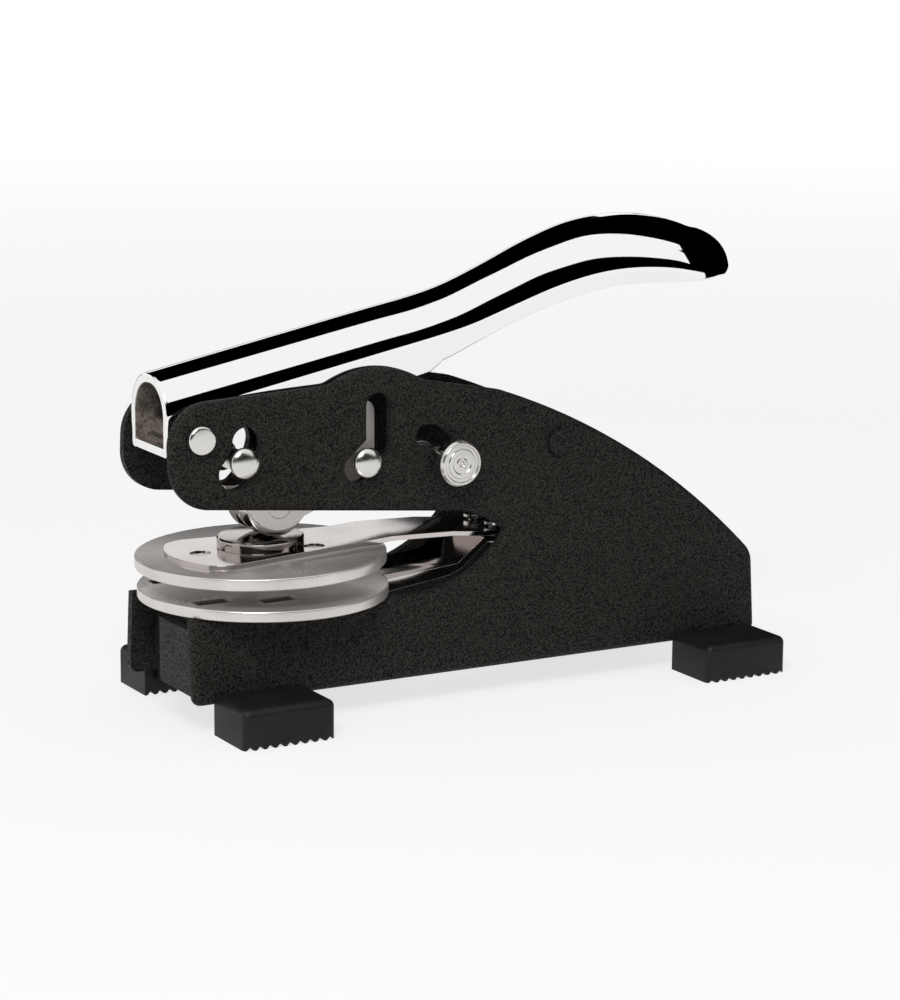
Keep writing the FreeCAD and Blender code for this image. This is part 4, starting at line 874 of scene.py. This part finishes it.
def roller(name, side):
    """A ring on the roller pin: bore, two end faces and the tread, with rounded rims."""
    near, far = (side * d for d in ROLLER_SPAN)
    corners = ((ROLLER_BORE, near), (ROLLER_RADIUS, near), (ROLLER_RADIUS, far),
               (ROLLER_BORE, far))
    rounds = (BORE_EDGE, ROLLER_EDGE, ROLLER_EDGE, BORE_EDGE)
    return spun(name, corners, rounds, ROLLER_AXIS, axis="Y", closed=True)


for hand, side in (("left", -1), ("right", 1)):
    stands_for(roller(f"{hand}_roller_turned", side), f"{hand}_roller", material=ROLLER)
print("rollers turned about", ROLLER_AXIS)

# %% Pins with heads
PIVOT_PIN = dict(at=(-20.2, 61.7), shank=2.5, head=3.15, seat=12.943, high=1.0)
LINK_PIN = dict(at=(-11.15, 56.4), shank=2.3, head=3.35, seat=14.19, high=2.0)
GUIDE_PIN = dict(at=(17.6, 54.0), shank=2.0, head=3.3, seat=14.397, high=2.0)
DOME_RIM, DOME_EDGE, DOME_STEPS = 0.5, 0.15, 14
FLAT_EDGES = [0.0, 0.1, 0.72, 0.0]


def headed_pin(name, at, shank, head, seat, high, dome):
    """A pin along Y, the same at both ends: shank, the flat under the head, then the
    head, which is a dome or a flat face with a soft edge."""
    end = seat + high
    if dome:
        turn = np.linspace(0, math.pi / 2, DOME_STEPS)
        rise = seat + DOME_RIM + (high - DOME_RIM) * np.sin(turn)
        half = [(shank, seat), (head, seat), *zip(head * np.cos(turn), rise)]
        rounds = [0.0, DOME_EDGE] + [0.0] * DOME_STEPS
    else:
        half = [(shank, seat), (head, seat), (head, end), (0.0, end)]
        rounds = FLAT_EDGES
    corners = [(r, -y) for r, y in half[::-1]] + half
    return spun(name, corners, rounds[::-1] + rounds, (at[0], 0.0, at[1]), axis="Y")


pivot = headed_pin("pivot_pin_turned", **PIVOT_PIN, dome=False)
stands_for(pivot, "lever_pivot_pin", material=PIN)
stands_for(headed_pin("link_pin_turned", **LINK_PIN, dome=True), "link_pin", material=PIN)
stands_for(headed_pin("guide_pin_turned", **GUIDE_PIN, dome=True), "guide_pin",
           material=PIN)
print("pins: pivot, link and guide")

# %% Knob
KNOB_AT = (38.5, 52.5)
KNOB_BACK = 14.89
KNOB_BORE = 1.6
KNOB_PROFILE = ((KNOB_BORE, 0.0), (4.35, 0.0), (5.05, 0.6), (5.05, 3.0), (4.55, 3.8),
                (4.1, 3.8), (3.95, 3.5), (3.3, 3.5), (3.15, 3.75), (2.3, 3.75), (2.1, 3.55),
                (1.35, 3.55), (1.1, 3.7), (0.7, 3.7), (0.45, 3.35), (0.0, 3.35))
KNOB_ROUNDS = (0, 0.15, 0.3, 0.35, 0.25, 0.12, 0.08, 0.08, 0.12, 0.12, 0.08, 0.08, 0.1, 0.1,
               0.08, 0)
KNOB = turned_metal("knob_steel", (0.68, 0.665, 0.65), 0.16, 0.26,
                    (DIE_X + KNOB_AT[0], 0, KNOB_AT[1]), axis="Y", scale=3200, strength=0.5)
knob = spun("knob_turned", [(r, -KNOB_BACK - y) for r, y in KNOB_PROFILE], KNOB_ROUNDS,
            (KNOB_AT[0], 0.0, KNOB_AT[1]), axis="Y")
stands_for(knob, "latch_knob", material=KNOB)
print("knob:", len(knob.data.polygons), "faces")

# %% [markdown]
# ## Sheet metal with soft edges
#
# The plates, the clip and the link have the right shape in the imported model, but its edges
# are knife sharp, and real edges catch a thin line of light. So each gets a finished copy:
# the loose triangles are merged, flat triangles join into larger faces, and a Bevel
# modifier rounds what is left sharp.

# %% Finished copies
CAD_SAME_POINT, CAD_FLAT = 2e-6, math.radians(0.4)
SOFT_ABOVE, SOFT_STEPS = math.radians(35), 3


def soft_copy(node, material, width):
    """A copy of a CAD node with merged points and bevelled edges, in its place."""
    copy = bmesh.new()
    copy.from_mesh(frame["nodes"][node].data)
    bmesh.ops.remove_doubles(copy, verts=copy.verts, dist=CAD_SAME_POINT)
    bmesh.ops.dissolve_limit(copy, angle_limit=CAD_FLAT, verts=copy.verts, edges=copy.edges)
    mesh = bpy.data.meshes.new(node + "_finished")
    copy.to_mesh(mesh)
    copy.free()
    mesh.shade_smooth()
    mesh.set_sharp_from_angle(angle=SOFT_ABOVE)
    thing = bpy.data.objects.new(node + "_finished", mesh)
    bpy.context.scene.collection.objects.link(thing)
    if width:
        bevel = thing.modifiers.new("soft edges", "BEVEL")
        bevel.width, bevel.segments = width * MM, SOFT_STEPS
        bevel.limit_method, bevel.angle_limit = "ANGLE", SOFT_ABOVE
        bevel.miter_outer = "MITER_ARC"
        bevel.harden_normals = True
    return stands_for(thing, node, material=material)


SOFT_EDGES = {
    "left_side_plate": 0.35, "right_side_plate": 0.35, "base_bridge": 0.3,
    "rear_brace": 0.3, "rear_spacer": 0.0, "upper_clip_arm": 0.14, "lower_clip_arm": 0.2,
    "press_link": 0.15, "latch_plate": 0.12, "front_left_foot": 0.25,
    "rear_left_foot": 0.25, "front_right_foot": 0.25, "rear_right_foot": 0.25,
    "pivot_washers": 0.12, "link_bushes": 0.0, "roller_pin": 0.15, "disc_rivets": 0.12,
    "tail_rivets": 0.15, "latch_stud": 0.12, "knob_stem": 0.0,
}
for node, width in SOFT_EDGES.items():
    soft_copy(node, BY_SLOT[SLOT_OF[node]], width)
print("finished copies:", len(SOFT_EDGES))

# %% [markdown]
# ## Studio
#
# The machine stands on a white floor in a white room. The floor has to look white without
# more light on the machine, so it glows by itself where it is seen, less near the machine,
# where it keeps the shadow. The room glows fully where it is seen and gives only a soft
# light; one lamp from the near left makes the shadow.

# %% Floor
FLOOR_HALF = 3.0
FLOOR_GLOW = 0.72
FLOOR_FADE = (0.35, 1.3)
FLOOR_WHITE = 0.95


def light_path_share(tree):
    """1 for rays from the camera, reflections and glass, 0 for rays that light things."""
    path = add_node(tree, "LightPath").outputs
    seen = maths(tree, "ADD", path["Is Camera Ray"], path["Is Glossy Ray"])
    both = maths(tree, "ADD", seen, path["Is Transmission Ray"])
    return maths(tree, "MINIMUM", both, 1.0)


def add_floor():
    """A white floor that keeps the shadow near the machine and fades into the white room."""
    corners = [(-FLOOR_HALF, -FLOOR_HALF, 0), (FLOOR_HALF, -FLOOR_HALF, 0),
               (FLOOR_HALF, FLOOR_HALF, 0), (-FLOOR_HALF, FLOOR_HALF, 0)]
    floor = mesh_object("floor", corners, [(0, 1, 2, 3)])
    material, tree, shader, place = new_material("floor_white", 0.0, 0.9, 0.0)
    shader.inputs["Base Color"].default_value = (FLOOR_WHITE, FLOOR_WHITE, FLOOR_WHITE, 1)
    distance = add_node(tree, "VectorMath", {0: place}, operation="LENGTH").outputs["Value"]
    share = remap(tree, distance, *FLOOR_FADE, FLOOR_GLOW, 1.0)
    glow = add_node(tree, "Emission", {"Color": (1, 1, 1, 1), "Strength": 1.0})
    mix = add_node(tree, "MixShader", {
        0: maths(tree, "MULTIPLY", share, light_path_share(tree)),
        1: shader.outputs[0], 2: glow.outputs[0]})
    tree.links.new(mix.outputs[0], tree.nodes["Material Output"].inputs["Surface"])
    floor.data.materials.append(material)
    return floor


# %% [markdown]
# ### Cards
#
# Chrome shows only what is round it, so black cards hang in the room, as in a studio for
# table ware. Three arches run over the machine: near, far and beyond the grip. The bright
# gaps between them become the long white bands on the lever. Three more stand low: one at
# the nose, one off the end of the grip and one behind. Painting the bands on the lever would
# be simpler, but they would not slide when it moves. Only reflections see the cards.

# %% Cards
CARD_FAR = 1.6
CARD_CENTRE = np.array((0.0, 0.0, 0.05))
CARD_STEPS = 24


def card(name, points_at, away=CARD_FAR):
    """A curved black card: points_at(u, v) gives a direction for u, v from 0 to 1, and the
    card lies at the distance away in that direction."""
    share = np.linspace(0, 1, CARD_STEPS)
    u, v = np.meshgrid(share, share, indexing="ij")
    direction = np.stack(points_at(u, v), axis=-1)
    direction /= np.linalg.norm(direction, axis=-1, keepdims=True)
    points = direction * away + CARD_CENTRE
    thing = mesh_object(name, points, grid_faces(CARD_STEPS, CARD_STEPS))
    material, _, shader, _ = new_material(name, specular=0.0)
    shader.inputs["Base Color"].default_value = (0.0, 0.0, 0.0, 1.0)
    thing.data.materials.append(material)
    thing.visible_camera = thing.visible_diffuse = thing.visible_shadow = False
    thing.visible_transmission = thing.visible_volume_scatter = False
    return thing


def horizon_card(name, turn, rise, away=CARD_FAR):
    """Between two turns from +X towards +Y and two heights above the horizon, degrees."""
    def points_at(u, v):
        a = np.radians(turn[0] + (turn[1] - turn[0]) * u)
        e = np.radians(rise[0] + (rise[1] - rise[0]) * v)
        return np.cos(e) * np.cos(a), np.cos(e) * np.sin(a), np.sin(e)
    return card(name, points_at, away)


def overhead_card(name, tip, side, lean=(0.0, 0.0)):
    """An arch over the machine: tip runs in degrees from the near horizon over the top to
    the far one, side is the sine of how far it leans towards -X and +X, and lean turns the
    arch's two edges, in degrees for each unit of side."""
    def points_at(u, v):
        s = side[0] + (side[1] - side[0]) * v
        low, high = tip[0] + lean[0] * s, tip[1] + lean[1] * s
        t = np.radians(low + (high - low) * u)
        c = np.sqrt(1 - s * s)
        return s, -np.cos(t) * c, np.sin(t) * c
    return card(name, points_at)


# %% Lamp and room
def add_area(name, place, aim, size, power):
    """A rectangular lamp at place that faces aim."""
    data = bpy.data.lights.new(name, "AREA")
    data.shape = "RECTANGLE"
    data.size, data.size_y = size
    data.energy = power
    lamp = bpy.data.objects.new(name, data)
    bpy.context.scene.collection.objects.link(lamp)
    lamp.location = place
    direction = Vector(aim) - Vector(place)
    lamp.rotation_euler = direction.to_track_quat("-Z", "Y").to_euler()
    return lamp


def add_room(light):
    """A white room: strength 1 where it is seen, and light strength where it lights."""
    world = bpy.data.worlds.new("studio")
    bpy.context.scene.world = world
    world.use_nodes = True
    tree = world.node_tree
    background = tree.nodes["Background"]
    background.inputs["Color"].default_value = (1, 1, 1, 1)
    strength = remap(tree, light_path_share(tree), 0.0, 1.0, light, 1.0)
    tree.links.new(strength, background.inputs["Strength"])
    return world


# %% Set up
ROOM_LIGHT = 0.5
KEY_PLACE, KEY_AIM, KEY_SIZE, KEY_WATTS = (-0.5, -0.62, 0.85), (-0.02, 0, 0.04), (0.5, 0.4), 6.5

add_floor()
add_room(ROOM_LIGHT)
add_area("key", KEY_PLACE, KEY_AIM, KEY_SIZE, KEY_WATTS)
overhead_card("near_card", (1.0, 45.0), (-0.2, 0.9), (0.0, -38.0))
overhead_card("far_card", (112.0, 162.0), (-0.75, 0.9), (-65.0, 0.0))
overhead_card("side_card", (2.0, 162.0), (0.74, 1.0))
horizon_card("front_card", (-172.0, -100.0), (1.0, 33.0))
horizon_card("end_card", (-30.0, 44.0), (-9.0, 33.0), 0.3)
horizon_card("back_card", (20.0, 110.0), (-6.0, 8.5), 0.4)
bpy.context.scene.view_settings.view_transform = "Standard"
print("studio: floor, room, key lamp and six cards")
